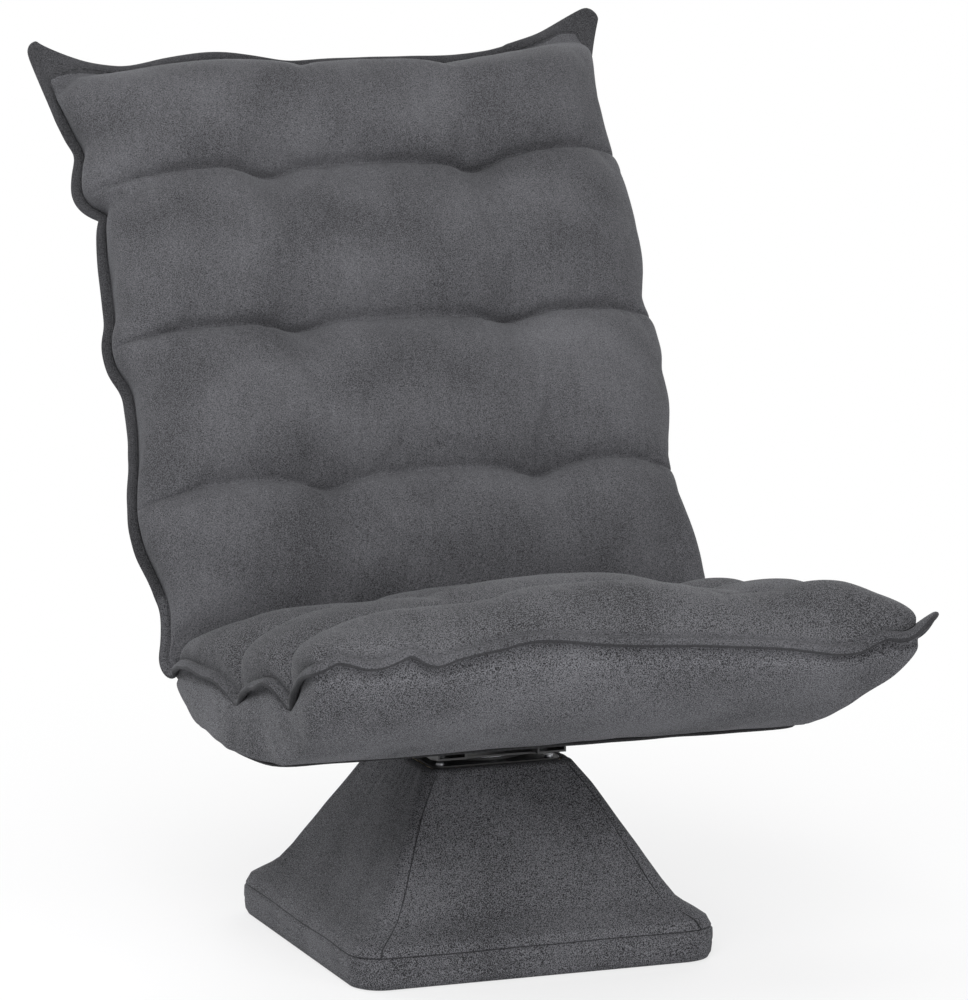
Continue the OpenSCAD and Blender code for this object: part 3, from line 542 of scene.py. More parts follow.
# Half widths of the pad at its side seams, as places along the pad and distances from the middle
back_left = [(0.013, 0.288), (0.025, 0.295), (0.05, 0.290), (0.085, 0.285), (0.12, 0.292), (0.150, 0.299),
             (0.174, 0.3005), (0.205, 0.297), (0.245, 0.289), (0.29, 0.283), (0.325, 0.283), (0.350, 0.293),
             (0.372, 0.294), (0.395, 0.287), (0.432, 0.2835), (0.485, 0.280), (0.508, 0.276), (0.520, 0.272),
             (0.532, 0.287), (0.545, 0.294), (0.565, 0.292), (0.590, 0.285), (0.613, 0.291), (0.640, 0.298),
             (0.668, 0.305), (0.690, 0.308), (0.72, 0.309)]
back_right = [(0.013, 0.279), (0.06, 0.273), (0.10, 0.2685), (0.12, 0.2655), (0.14, 0.261), (0.16, 0.259),
              (0.18, 0.259), (0.20, 0.258), (0.22, 0.260), (0.24, 0.2656), (0.26, 0.2706), (0.30, 0.2716),
              (0.32, 0.2757), (0.34, 0.276), (0.36, 0.2755), (0.38, 0.2695), (0.40, 0.2727), (0.42, 0.2775),
              (0.46, 0.2794), (0.50, 0.2797), (0.525, 0.279), (0.54, 0.278), (0.56, 0.274), (0.58, 0.271),
              (0.60, 0.2705), (0.62, 0.270), (0.64, 0.272), (0.66, 0.276), (0.69, 0.282), (0.75, 0.286)]
seat_left = [(0.013, 0.288), (0.05, 0.293), (0.116, 0.294), (0.17, 0.290), (0.212, 0.285), (0.26, 0.292),
             (0.31, 0.293), (0.345, 0.285), (0.358, 0.281), (0.38, 0.286), (0.42, 0.294), (0.47, 0.298),
             (0.50, 0.299)]
seat_right = [(0.013, 0.282), (0.05, 0.290), (0.116, 0.294), (0.17, 0.292), (0.212, 0.287), (0.26, 0.293),
              (0.31, 0.294), (0.356, 0.287), (0.40, 0.290), (0.44, 0.293), (0.46, 0.294), (0.474, 0.293),
              (0.50, 0.293)]
# Rise of the seat's sewn edge above its plane, along the sides and across the front
rise_left = [(0.018, 0.006), (0.061, 0.014), (0.116, 0.010), (0.165, 0.003), (0.200, -0.011), (0.212, -0.018),
             (0.230, -0.012), (0.262, -0.002), (0.300, 0.005), (0.330, 0.004), (0.346, -0.006), (0.358, -0.014),
             (0.374, -0.010), (0.400, 0.002), (0.430, 0.011), (0.460, 0.017), (0.50, 0.020)]
rise_right = [(0.018, 0.005), (0.10, 0.008), (0.16, 0.004), (0.20, -0.009), (0.212, -0.013), (0.24, -0.005),
              (0.31, 0.002), (0.345, -0.008), (0.358, -0.012), (0.40, 0.002), (0.44, 0.012), (0.474, 0.022),
              (0.50, 0.024)]
rise_front = [(-0.32, 0.024), (-0.298, 0.026), (-0.284, 0.033), (-0.270, 0.032), (-0.241, 0.026),
              (-0.224, 0.031), (-0.207, 0.036), (-0.200, 0.033), (-0.186, 0.024), (-0.170, 0.029),
              (-0.134, 0.035), (-0.077, 0.040), (-0.038, 0.036), (0.068, 0.027), (0.15, 0.019), (0.215, 0.011),
              (0.232, 0.011), (0.250, 0.019), (0.262, 0.022), (0.275, 0.017), (0.289, 0.018), (0.303, 0.024),
              (0.32, 0.028)]
# How far the back's top seam and the seat's front seam stand beyond their even lines
top_line = [(-0.32, -0.004), (-0.290, -0.003), (-0.277, 0.001), (-0.255, -0.002), (-0.232, -0.005),
            (-0.177, 0.003), (-0.123, 0.008), (-0.089, 0.004), (-0.060, -0.003), (0.011, -0.003), (0.080, -0.002),
            (0.174, -0.004), (0.196, -0.002), (0.219, 0.003), (0.245, 0.011), (0.266, 0.019), (0.286, 0.018),
            (0.32, 0.010)]
front_line = [(-0.32, 0.004), (-0.28, 0.000), (-0.15, -0.004), (0.0, -0.006), (0.15, -0.004), (0.27, 0.000),
              (0.32, -0.010)]
# How far the back's rows climb toward its right side, at places along it
climb = [(0.05, 0.0), (0.182, 0.007), (0.27, 0.003), (0.360, 0.004), (0.45, 0.011), (0.534, 0.018),
         (0.69, 0.012), (0.75, 0.012)]


def smooth_line(pairs, at):
    """Smooth interpolation through (place, value) pairs."""
    xs = np.array([p[0] for p in pairs])
    ys = np.array([p[1] for p in pairs])
    at = np.clip(at, xs[0], xs[-1])
    slopes = np.gradient(ys, xs)
    k = np.clip(np.searchsorted(xs, at) - 1, 0, len(xs) - 2)
    w = xs[k + 1] - xs[k]
    t = (at - xs[k]) / w
    return ((2 * t**3 - 3 * t**2 + 1) * ys[k] + (t**3 - 2 * t**2 + t) * w * slopes[k]
            + (3 * t**2 - 2 * t**3) * ys[k + 1] + (t**3 - t**2) * w * slopes[k + 1])


def at_one(function, first, *places):
    """What a function of many places gives at a single one."""
    return float(function(first, *[np.array([place]) for place in places])[0])


def right_lift(on_back, u, s):
    """The climb of the back's rows at a place across them."""
    if not on_back:
        return np.zeros_like(u)
    across = ramp(u * 0.29, 0.09, 0.19)
    return smooth_line(climb, s) * across**2 * (3 - 2 * across)


def half_width(on_back, u, s):
    left, right = (back_left, back_right) if on_back else (seat_left, seat_right)
    return np.where(u < 0, smooth_line(left, s), smooth_line(right, s + right_lift(on_back, u, s)))


def edge_rise(on_back, u, s, x):
    """Lift of the pad's seam plane: only the seat's sewn edges leave it."""
    if on_back:
        return np.zeros_like(x)
    side = np.where(u < 0, smooth_line(rise_left, s), smooth_line(rise_right, s))
    side = side * hump((1 - np.abs(u)) * 0.29, 0, 0.045)
    nearness = ramp(s, seat_front - 0.10, 0.10)
    front = smooth_line(rise_front, x)
    return side * (1 - nearness**2) + front * nearness**2


def row_places(knots, step):
    """Rows between seams, closer together where the cover dives into a seam."""
    places = []
    for a, b in zip(knots[:-1], knots[1:]):
        n = max(6, int(round(abs(b - a) / step)))
        for i in range(n):
            t = i / n
            places.append(a + (b - a) * (t - 0.10 * math.sin(2 * math.pi * t)))
    return places + [knots[-1]]


def seam_bow(x, amount):
    """Between the tufts and the edges, a sewn line bows away from the seat."""
    ends = np.array([-0.30, -tuft_x, tuft_x, 0.30])
    k = np.clip(np.searchsorted(ends, x) - 1, 0, 2)
    t = 2 * (x - ends[k]) / (ends[k + 1] - ends[k]) - 1
    return amount * (1 - np.abs(t) ** 2.2)


def puff(on_back, u, s, x):
    """Height of the padded face above its seam plane."""
    seams = back_seams if on_back else seat_seams
    edges = np.array([crease] + seams + [back_top if on_back else seat_front])
    n = len(edges) - 1
    if on_back:
        crown = 0.088
    else:
        # Fullest between the tufts and again at the right end
        crown = (0.079 - 0.012 * (1 - np.exp(-(x / tuft_x) ** 4)) + 0.008 * ramp(x, 0.18, 0.07)
                 - 0.008 * hump(x, 0.155, 0.055))
    s = np.clip(s, edges[0], edges[-1])
    k = np.clip(np.searchsorted(edges, s, side="right") - 1, 0, n - 1)
    t = 2 * (s - edges[k]) / (edges[k + 1] - edges[k]) - 1
    row = np.maximum(0, 1 - np.abs(t) ** (2.3 if on_back else 2.8)) ** 0.54
    ends = ((k == 0) & (t < 0)) | ((k == n - 1) & (t > 0))
    dip = np.zeros_like(x)
    for e in edges[1:-1]:
        for c in (-tuft_x, tuft_x):
            dip = np.maximum(dip, hump(x, c, 0.030) * hump(s, e, 0.026))
    column = hump(np.abs(x), tuft_x, 0.026) * (1 - 0.5 * row)
    inner = (s > edges[1]) & (s < edges[-2])
    # On the seat the seams between the rolls run in deeper at their ends
    deeper = 0.0 if on_back else 0.038 * ramp(np.abs(x), 0.13, 0.13) ** 2
    body = crown - (0.026 + deeper) * (1 - row) * ~ends - 0.015 * dip - np.where(inner, 0.006, 0.003) * column
    side = np.maximum(0, 1 - np.abs(u) ** 7) ** (0.42 if on_back else np.where(u > 0, 0.36, 0.42))
    rise = np.sin(np.pi / 2 * ramp(s, edges[0], 0.148))
    far = (1 - (1 - ramp(-s, -edges[-1], 0.070)) ** 2.4) ** (1.6 if on_back else 0.5)
    # The back's top left corner is drawn out flat
    flat = 1 - (0.8 * hump(x, -0.300, 0.030) * hump(s, 0.690, 0.034) if on_back else 0.0)
    return side * rise * far * body * flat


def pad_point(on_back, u, s, fullness):
    """A point of the face, from its place across (u, -1 to 1) and along (s, from the hinge)."""
    top = back_top if on_back else seat_front
    x = u * half_width(on_back, u, s)
    reach = ramp(s, crease, top - crease) ** 7
    line = top_line if on_back else front_line
    s2 = s + smooth_line(line, x) * reach + right_lift(on_back, u, s)
    h = puff(on_back, u, s, x) * fullness
    rise = edge_rise(on_back, u, s, x)
    k = np.clip(h / 0.050, 0, 1)
    swell = 0.010 * 4 * k * (1 - k) * (np.abs(u) > 0.6)
    x = x + np.sign(u) * swell
    height = seam_h + h + rise * (1 - np.clip(h / 0.06, 0, 1))
    up, out = (back_up, back_out) if on_back else (seat_on, seat_out)
    p = hinge + up * s2[..., None] + out * height[..., None]
    p[..., 0] += x
    return p


def set_places(obj, places):
    obj.data.vertices.foreach_set("co", np.ascontiguousarray(places, dtype=np.float32).ravel())
    obj.data.update()


def get_places(mesh):
    places = np.empty(len(mesh.vertices) * 3, dtype=np.float32)
    mesh.vertices.foreach_get("co", places)
    return places.reshape(-1, 3).astype(float)


def let_settle(obj, sewn, pressure, spare, most, frames=18):
    """Cloth simulation: the cover swells and puckers between its sewn points, moves by at most the
    given distance, and keeps that shape. spare is the share by which the cloth is cut too large."""
    start = get_places(obj.data)
    group = obj.vertex_groups.new(name="sewn")
    group.add([int(i) for i in sewn], 1.0, "REPLACE")
    cloth = obj.modifiers.new("settling", "CLOTH")
    cloth.settings.quality = 6
    cloth.settings.mass = 0.3
    cloth.settings.tension_stiffness = 14
    cloth.settings.compression_stiffness = 14
    cloth.settings.shear_stiffness = 6
    cloth.settings.bending_stiffness = 0.35
    cloth.settings.air_damping = 2
    cloth.settings.use_pressure = True
    cloth.settings.uniform_pressure_force = pressure
    cloth.settings.vertex_group_mass = "sewn"
    cloth.settings.shrink_min = -spare
    cloth.settings.effector_weights.gravity = 0
    cloth.collision_settings.use_collision = False
    cloth.point_cache.frame_start = 1
    cloth.point_cache.frame_end = frames
    for step in range(1, frames + 1):
        scene.frame_set(step)
    shaped = obj.evaluated_get(bpy.context.evaluated_depsgraph_get())
    moved = get_places(shaped.data) - start
    length = np.linalg.norm(moved, axis=1, keepdims=True) + 1e-9
    obj.modifiers.remove(cloth)
    obj.vertex_groups.clear()
    set_places(obj, start + moved * (most * np.tanh(length / most) / length))
    scene.frame_set(1)


def smoother(obj):
    """One applied step of subdivision."""
    step = obj.modifiers.new("finer", "SUBSURF")
    step.levels = 1
    step.render_levels = 1
    shaped = obj.evaluated_get(bpy.context.evaluated_depsgraph_get())
    finer = bpy.data.meshes.new_from_object(shaped)
    obj.modifiers.remove(step)
    obj.data = finer
    finer.name = obj.name


steps_across = 112
us = np.linspace(-1, 1, steps_across + 1)
us = np.sign(us) * (1 - (1 - np.abs(us)) ** 1.18)
row_step = 0.0056
back_rows = row_places([back_top] + back_seams[::-1] + [crease], row_step)
seat_rows = row_places([crease] + seat_seams + [seat_front], row_step)[1:]


def bowed(s, x, seams, top):
    """Shifts the rows so that each seam's own row follows its bow."""
    knots = [crease] + seams + [top]
    amounts = [0.0] + [seam_bows[k] for k in seams] + [0.0]
    shares = [np.interp(s, knots, [float(k == knot) for k in knots]) for knot in knots]
    return sum(share * seam_bow(x, amount) for share, amount in zip(shares, amounts))


fullness = 0.965  # the settling swells the cover by the rest
face_rows = [("back", s) for s in back_rows] + [("seat", s) for s in seat_rows]
shape_rows = []
for part, s in face_rows:
    row = pad_point(part == "back", us, np.full_like(us, s), fullness)
    if part == "back":
        shift = bowed(s, us * mean_half, back_seams, back_top)[:, None] * (1 - np.abs(us) ** 8)[:, None]
        row = row + back_up * shift
    shape_rows.append(row)
face = np.array(shape_rows)
n_rows, n_across = face.shape[:2]
crease_row = len(back_rows) - 1

# Uneven filling under the cover
outward = np.array([back_out if part == "back" else seat_out for part, s in face_rows])
for j in range(n_rows):
    away = min(1.0, abs(j - crease_row) / 8)
    for i in range(n_across):
        inside = (1 - abs(us[i]) ** 6) * away
        x, y, z = face[j, i]
        lump = 0.0032 * wobble(x, y, z, 0.12) + 0.0010 * wobble(x, y, z, 0.05, 7.0)
        face[j, i] += outward[j] * lump * inside

faces = [tuple(reversed(f)) for f in strip_faces(n_rows, n_across, False)]
pad_face = mesh_object("pad_face", face.reshape(-1, 3), faces)
index = np.arange(n_rows * n_across).reshape(n_rows, n_across)
sewn = set(index[:, 0]) | set(index[:, -1]) | set(index[0]) | set(index[-1]) | set(index[crease_row])
tuft_hold = 0.007  # radius that the tuft's thread holds down
for j, (part, s) in enumerate(face_rows):
    near = min(abs(s - k) for k in (back_seams if part == "back" else seat_seams))
    if near < 1e-4:
        sewn |= set(index[j])
        continue
    for i in range(n_across):
        if math.hypot(near, abs(abs(us[i] * mean_half) - tuft_x)) < tuft_hold:
            sewn.add(index[j, i])
let_settle(pad_face, sewn, 3.0, 0.012, 0.016)
# The thread pulls the cover down into a narrow crease along each seam
settled = get_places(pad_face.data).reshape(n_rows, n_across, 3)
for j, (part, s) in enumerate(face_rows):
    seams = back_seams if part == "back" else seat_seams
    near = min(seams, key=lambda k: abs(s - k))
    depth = seam_pulls[near] * hump(s, near, 0.0030)
    settled[j] -= outward[j] * depth * (1 - np.abs(us) ** 12)[:, None]
set_places(pad_face, settled.reshape(-1, 3))
pad_face.data.materials.append(seat_suede)
pad_face.data.materials.append(back_suede)
for polygon in pad_face.data.polygons:
    polygon.material_index = 1 if polygon.index < crease_row * (n_across - 1) else 0
smoother(pad_face)
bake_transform(pad_face)
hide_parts("seat_cushion", "back_cushion")


# Underside of the pad: black cloth over the back's rear and the suede tub round the seat,
# both sewn to the face all along the edge. The tub is undercut at the front.
tub_run = 0.200  # length of the tub's rounded front
tub_front = seat_front - tub_run
top_draw = 0.022  # how far the rear cloth is drawn in at the top and sides of the back


def drawn_in(a):
    """Share by which a rounded side has turned in: 0 at its edge (a = 0), 1 at its foot (a = pi / 2)."""
    return 0.5 * math.sin(a) + 0.5 * (1 - math.cos(a))


def shell_rows():
    """Stations along the pad: the part, the place along it and the share of the full depth."""
    rows = []
    for k in range(13):
        a = math.pi / 2 * k / 12
        rows.append(("back", back_top - top_draw * drawn_in(a), math.sin(a)))
    rows += [("back", s, 1.0) for s in np.linspace(rows[-1][1], crease, 62)[1:]]
    rows += [("turn", k / 10, 1.0) for k in range(1, 10)]
    rows += [("seat", s, 1.0) for s in np.linspace(crease, tub_front, 34)]
    for k in range(1, 49):
        a = math.pi / 2 * (1 - k / 48) ** 1.35
        rows.append(("seat", seat_front - tub_run * drawn_in(a), math.sin(a)))
    return rows


side_steps = 24
flat_steps = 30
side_turns = [math.pi / 2 * (i / side_steps) ** 1.5 for i in range(side_steps + 1)]
# Half width of the tub's lower edge at places along the seat; its front corners are rounded off
tub_low_left = [(0.0, 0.252), (0.04, 0.268), (0.07, 0.279), (0.12, 0.289), (0.17, 0.293), (0.23, 0.292),
                (0.274, 0.282), (0.32, 0.276), (0.38, 0.279), (0.43, 0.287), (0.50, 0.295)]
tub_low_right = [(0.0, 0.240), (0.07, 0.258), (0.17, 0.268), (0.26, 0.263), (0.30, 0.253), (0.34, 0.242),
                 (0.36, 0.242), (0.38, 0.2485), (0.40, 0.257), (0.42, 0.267), (0.44, 0.282), (0.46, 0.2965),
                 (0.50, 0.304)]


even_half = 0.2885  # half width that the tub's wall evens out to
side_swell = 0.0055  # swell of the filling below the sewn edge, at the sides and in front
front_swell = 0.0100


def under_lip(depth, swell):
    """Below the sewn edge the filling swells out, so that the edge lies in a narrow channel."""
    d = depth - 0.0125
    return swell / (1 + math.exp(-d / 0.0011)) * math.exp(-max(d, 0.0) / 0.045)


bottom_z = 0.2352
rear_bottom_z = 0.2286  # under the hinges
back_depth = 0.043
edge_gap = 0.001  # the cloth starts this far inside the sewn edge
crease_at = hinge + back_up * crease + back_out * seam_h


def shell_point(part, s, share, left, a, inward):
    """A point of the shell: a is the angle round the side's curve, inward the share across the flat."""
    u = -1.0 if left else 1.0
    drop = math.sin(a)
    draw_share = drawn_in(a)
    belly = math.sin(2 * a)
    if part == "back":
        hw = at_one(half_width, True, u, s)
        low = 0.0 if left else 0.025 * hump(s, 0.095, 0.060)
        x = (hw - edge_gap - top_draw * draw_share + low * (belly + 0.4 * drop)) * (1 - inward)
        line = at_one(smooth_line, top_line, u * (hw - 0.03 * draw_share) * (1 - inward))
        reach = max(0.0, (s - 0.60) / 0.09) ** 2 * (1 - share * drop)
        p = hinge + back_up * (s + line * reach) + back_out * (seam_h - back_depth * share * drop)
    elif part == "turn":
        turn = s  # share of the way from the back's lower end to the seat's rear end
        seat_x = 0.287 * (1 - drop**2) + (0.258 if left else 0.245) * drop**2 + 0.003 * belly
        back_x = (0.287 if left else 0.281) - 0.023 * draw_share + (0.0 if left else 0.008) * belly
        x = (back_x * (1 - turn) + seat_x * turn) * (1 - inward)
        back_low = hinge + back_up * crease + back_out * (seam_h - back_depth)
        seat_low = hinge + seat_on * crease + seat_out * seam_h
        seat_low[2] = rear_bottom_z
        low = back_low * (1 - turn) + seat_low * turn
        bulge = 0.011 * math.sin(math.pi * turn)
        low = low + np.array([0.0, bulge, -bulge])
        low[2] = max(low[2], rear_bottom_z)
        p = crease_at + (low - crease_at) * drop
    else:
        hw = at_one(half_width, False, u, s) - edge_gap
        low_width = at_one(smooth_line, tub_low_left if left else tub_low_right, s)
        top = hinge + seat_on * s + seat_out * seam_h
        across = u * (hw * (1 - drop**1.7) + low_width * drop**1.7) * (1 - inward)
        lift = at_one(edge_rise, False, u * (1 - 0.1 * draw_share) * (1 - inward), s, across)
        lift = lift * (1 - drop * share) ** 2
        top = top + seat_out * lift
        low_z = bottom_z + (rear_bottom_z - bottom_z) * hump(max(s, 0.03), 0.03, 0.04)
        depth = (top[2] - low_z) * drop * share
        # The edge's dips and waves fade out a little way down the wall
        even = hw + (even_half - hw) * (1 - math.exp(-depth / 0.014)) * share
        x = (even * (1 - drop**1.7) + low_width * drop**1.7 + 0.003 * belly
             + under_lip(depth, side_swell) * min(1.0, share * 1.5))
        x *= 1 - inward
        line = at_one(smooth_line, front_line, u * x)
        top = top + seat_on * line * max(0.0, (s - 0.38) / 0.094) ** 2
        p = top - np.array([0.0, 0.0, depth])
        p = p + seat_on * under_lip(depth, front_swell) * (1 - share) ** 0.5 * min(1.0, drop * 1.5)
    p[0] = u * x
    return p


shell_at = shell_rows()
shell = []
for part, s, share in shell_at:
    row = []
    for i in range(side_steps + 1):
        row.append(shell_point(part, s, share, True, side_turns[i], 0.0))
    for i in range(1, flat_steps):
        t = 2 * i / flat_steps
        row.append(shell_point(part, s, share, t < 1, math.pi / 2, t if t < 1 else 2 - t))
    for i in range(side_steps, -1, -1):
        row.append(shell_point(part, s, share, False, side_turns[i], 0.0))
    shell.append(row)
shell = np.array(shell)
shell_across = shell.shape[1]


def shell_piece(name, first, last, material, nodes_replaced, folds):
    """A piece of the underside from one station to another, with folds of the given height."""
    part = shell[first:last + 1].copy()
    count = part.shape[0]
    step_a = np.gradient(part, axis=0)
    step_b = np.gradient(part, axis=1)
    normal = np.cross(step_a, step_b)
    normal /= np.linalg.norm(normal, axis=2, keepdims=True) + 1e-12
    middle = np.array([0.0, part[..., 1].mean(), part[..., 2].mean() + 0.05])
    facing = np.sign(dots(normal, part - middle))
    normal *= np.where(facing == 0, 1, facing)
    for j in range(count):
        for i in range(shell_across):
            edge = min(i, shell_across - 1 - i, side_steps) / side_steps
            x, y, z = part[j, i]
            turned = side_turns[int(round(edge * side_steps))] / (math.pi / 2)
            fall = math.sin(math.pi * min(1.0, turned * 0.75 + 0.02))
            push = folds * fall * (0.6 * wobble(x, y, z * 0.35, 0.028, 4.0) + wobble(x, y, z * 0.5, 0.07, 6.0))
            part[j, i] += normal[j, i] * push
    piece = mesh_object(name, part.reshape(-1, 3), strip_faces(count, shell_across, False))
    ids = np.arange(count * shell_across).reshape(count, shell_across)
    fixed = set(ids[:, 0]) | set(ids[:, -1]) | set(ids[0]) | set(ids[-1])
    for j in range(count):
        fixed |= set(ids[j, side_steps + 1:-side_steps - 1])
    let_settle(piece, fixed, 1.2, 0.035, 0.007, 14)
    smoother(piece)
    piece.data.materials.append(material)
    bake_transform(piece)
    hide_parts(*nodes_replaced)
    return piece


# The two cloths are sewn together half-way round the turn
turn_row = next(k for k, row in enumerate(shell_at) if row[0] == "turn") + 4
shell_piece("back_rear_panel", 0, turn_row, dust_cloth, ["back_rear_cover"], 0.0014)
shell_piece("seat_tub", turn_row, len(shell_at) - 1, slate_suede, ["seat_surround"], 0.0042)


# Sewn edge: the face and the underside are turned out together and stitched into a soft lip
# about 11 mm wide that runs right round the pad, with pointed ears at the corners.
def edge_loop():
    """Places, pad normals and droop of the lip, all round the pad from the back's top left corner."""
    side_a = [(face[j, 0], outward[j], j) for j in range(n_rows)]
    front = [(face[-1, i], seat_out, n_rows - 1) for i in range(1, n_across)]
    side_b = [(face[j, -1], outward[j], j) for j in range(n_rows - 2, -1, -1)]
    top = [(face[0, i], back_out, 0) for i in range(n_across - 2, 0, -1)]
    return side_a + front + side_b + top


loop = edge_loop()
places = np.array([p for p, _, _ in loop])
normals = np.array([n for _, n, _ in loop])
lengths = np.concatenate([[0], np.cumsum(np.linalg.norm(np.diff(np.vstack([places, places[:1]]), axis=0), axis=1))])
around = lengths[-1]
lip_step = 0.0036
lip_steps = int(around / lip_step)
at = np.linspace(0, around, lip_steps, endpoint=False)
wrapped = np.vstack([places, places[:1]])
wrapped_n = np.vstack([normals, normals[:1]])
path = np.column_stack([np.interp(at, lengths, wrapped[:, k]) for k in range(3)])
lip_n = np.column_stack([np.interp(at, lengths, wrapped_n[:, k]) for k in range(3)])


def soften(values, times):
    """Evens out values round a closed line."""
    for k in range(times):
        values = (np.roll(values, 1, axis=0) + 2 * values + np.roll(values, -1, axis=0)) / 4
    return values


path = soften(path, 3)
lip_n = soften(lip_n, 12)
tangent = unit(np.roll(path, -2, axis=0) - np.roll(path, 2, axis=0))
lip_out = unit(np.cross(lip_n, tangent))
on_back_z = 0.42  # the edge is the back's above this height
centre = np.where(path[:, 2:3] > on_back_z, hinge + back_up * 0.35, hinge + seat_on * 0.25)
lip_out = unit(soften(lip_out * np.sign(dots(lip_out, path - centre)), 3))
lip_n = np.cross(tangent, lip_out)
lip_n *= np.sign(dots(lip_n, np.where(path[:, 2:3] > on_back_z, back_out, seat_out)))

# The edge hangs a little on the back, more on the seat, and nearly straight down across the front
on_seat = 1 / (1 + np.exp((path[:, 2] - on_back_z) / 0.03)) * (path[:, 1] < 0.10)
at_front = hump(path[:, 1], -0.40, 0.05) * on_seat
droop = math.radians(6) + on_seat * math.radians(40) + at_front * math.radians(38)
# Ear at the seat's front right corner, which stands up
ear_at = np.array([0.300, -0.390, 0.358])
ear_up = hump(np.linalg.norm(path - ear_at, axis=1), 0, 0.026)
droop = droop * (1 - ear_up) - ear_up * math.radians(42)
# Ears at the top of the back. For each: its corner in x and along the back, the middle and radius of
# its rounded tip, and how far across and along the edge is drawn out to it
along_back = (path - hinge) @ back_up
tip_share = np.zeros((lip_steps, 1))
tip_at = np.zeros((lip_steps, 3))
top_ears = [(-0.300, 0.690, -0.3140, 0.7140, 0.0130, 0.025, 0.028),
            (0.282, 0.715, 0.2985, 0.7385, 0.0130, 0.025, 0.024)]
for corner_x, corner_s, tip_x, tip_s, tip_r, reach_x, reach_s in top_ears:
    tip = hinge + back_up * tip_s + back_out * (seam_h + 0.002) + np.array([tip_x, 0, 0])
    far_off = ((path[:, 0] - corner_x) / reach_x) ** 2 + ((along_back - corner_s) / reach_s) ** 2
    near = (0.97 * np.exp(-far_off ** 2.0) * (path[:, 2] > 0.5))[:, None]
    tip_at = np.where(near > tip_share, tip + lip_out * tip_r, tip_at)
    tip_share = np.maximum(tip_share, near)
wave = np.array([wobble(p[0], p[1], p[2], 0.05, 11.0) for p in path])
ripple = np.array([wobble(p[0], p[1], p[2], 0.022, 12.0) for p in path])
loose = (1 - 0.9 * at_front) * (1 - tip_share[:, 0])
droop = soften((droop + (0.38 * wave + 0.16 * ripple) * loose)[:, None], 4)
lip_a = lip_out * np.cos(droop) - lip_n * np.sin(droop)
lip_b = lip_n * np.cos(droop) + lip_out * np.sin(droop)
# Half of the edge's profile, from inside the seam to its tip: distance out and half thickness
lip_reach = 0.0118
fullest_at = 0.0056
profile = [(-0.0030, 0.0003), (-0.001, 0.0002), (0.0006, 0.0004), (0.0018, 0.0017), (0.0034, 0.0028),
           (fullest_at, 0.0034), (0.0080, 0.0033), (0.0100, 0.0026), (0.0114, 0.0013), (lip_reach, 0.0)]
profile = profile + [(a, -b) for a, b in reversed(profile[:-1])]
high_right = hump(along_back, 0.660, 0.030) * (path[:, 0] > 0.2) * (path[:, 2] > 0.5)
breadth = 1 + 0.07 * wave + 0.05 * ripple + 1.6 * ear_up + 0.45 * high_right
reach = lip_a * lip_reach * breadth[:, None]
reach = reach * (1 - tip_share) + (tip_at - path) * tip_share
breadth = np.linalg.norm(reach, axis=1) / lip_reach
lip_a = unit(reach)
lip_b = unit(lip_b - lip_a * dots(lip_a, lip_b))
lip_points = []
for k in range(lip_steps):
    for a, b in profile:
        stretch = (breadth[k] - 1) * lip_reach * min(1.0, max(0.0, a) / fullest_at)
        lip_points.append(path[k] + lip_a[k] * (a + stretch) + lip_b[k] * b)
ring = len(profile)
pad_lip = mesh_object("pad_sewn_edge", lip_points, strip_faces(lip_steps, ring, True, True))
for material in (edge_suede, shaded_edge_suede, seam_shade):
    pad_lip.data.materials.append(material)
# Painted shade: the back's edge takes the darker copy of the suede, and on the seat the strips round the lip's tip
# take the dark seam material, standing in for the shade under the lip
tip_strips = range(7, 12)
for polygon in pad_lip.data.polygons:
    at_seat = on_seat[polygon.index // ring] > 0.5
    polygon.material_index = (2 if polygon.index % ring in tip_strips else 0) if at_seat else 1
smoother(pad_lip)
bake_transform(pad_lip)

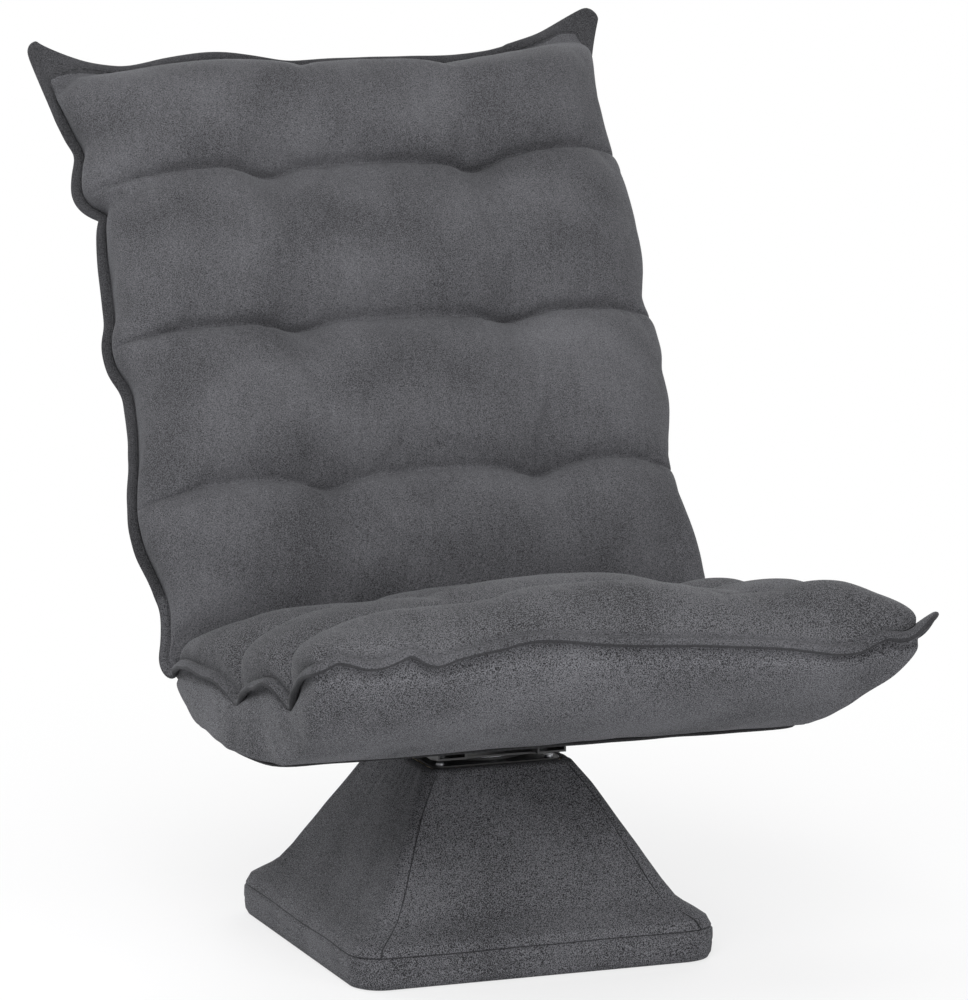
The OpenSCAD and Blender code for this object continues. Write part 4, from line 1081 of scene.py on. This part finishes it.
# Stitches: short dark threads sunk in the lip's groove, on both of its sides
stitch_points = []
stitch_faces = []
stitch_pitch = 0.0052
stitch_half = 0.0017
thread_r = 0.00045
for side in (1, -1):
    for k in range(int(around / stitch_pitch)):
        j = int(k * stitch_pitch / around * lip_steps) % lip_steps
        mid = path[j] + lip_a[j] * 0.0024 + lip_b[j] * 0.0021 * side
        for end in (-1, 1):
            for c in range(4):
                w = c * math.pi / 2 + math.pi / 4
                stitch_points.append(mid + tangent[j] * end * stitch_half + lip_a[j] * thread_r * math.cos(w)
                                     + lip_b[j] * thread_r * math.sin(w))
        n = len(stitch_points) - 8
        stitch_faces += [(n + c, n + (c + 1) % 4, n + 4 + (c + 1) % 4, n + 4 + c) for c in range(4)]
        stitch_faces += [(n, n + 3, n + 2, n + 1), (n + 4, n + 5, n + 6, n + 7)]
stitches = mesh_object("pad_edge_stitches", stitch_points, stitch_faces)
thread, tree, shader = new_material("dark_thread")
set_inputs(shader, Roughness=0.6)
twist = noise_node(tree, 0.0006, 2)
two_tones(tree, shader, twist.outputs["Fac"], (0.02, 0.021, 0.023), (0.06, 0.062, 0.066))
stitches.data.materials.append(thread)
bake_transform(stitches)


# Dust cloth under the seat: black non-woven cloth stapled round the frame's underside,
# cut out round the swivel channels, with its rim turned under.
dress(dust_cloth, "seat_bottom_cloth")
hem_inward = 0.030  # share of the half width from the tub's edge to the hem
hem_half_w, hem_half_h = 0.0050, 0.0026
hem_forward = 0.011  # the front hem stands forward of the tub's flat
flat_at = [s for part, s, share in shell_at if part == "seat" and s <= tub_front + 1e-6]
left_run, right_run = [[shell_point("seat", s, 1.0, left, math.pi / 2, hem_inward) for s in flat_at]
                       for left in (True, False)]


def straight_run(a, b):
    """Places between two points, 60 equal steps apart."""
    return [a + (b - a) * k / 60 for k in range(1, 60)]


rim = np.array(left_run + straight_run(left_run[-1], right_run[-1]) + right_run[::-1]
               + straight_run(right_run[0], left_run[0]))
rim = soften(rim, 6)
rim[:, 2] = bottom_z - 0.0016 + 0.0008 * np.array([wobble(p[0], p[1], 0, 0.05) for p in rim])
rim[:, 1] -= hem_forward * ramp(-rim[:, 1], 0.15, 0.04)
facing = [np.array([0.0, 0.0, -1.0])] * len(rim)
hem_points, hem_faces = thin_line(list(rim), facing, hem_half_w, hem_half_h, True)
seat_hem = mesh_object("seat_bottom_hem", hem_points, hem_faces)
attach(seat_hem, "seat")
seat_hem.data.materials.append(dust_cloth)


bpy.context.view_layer.update()
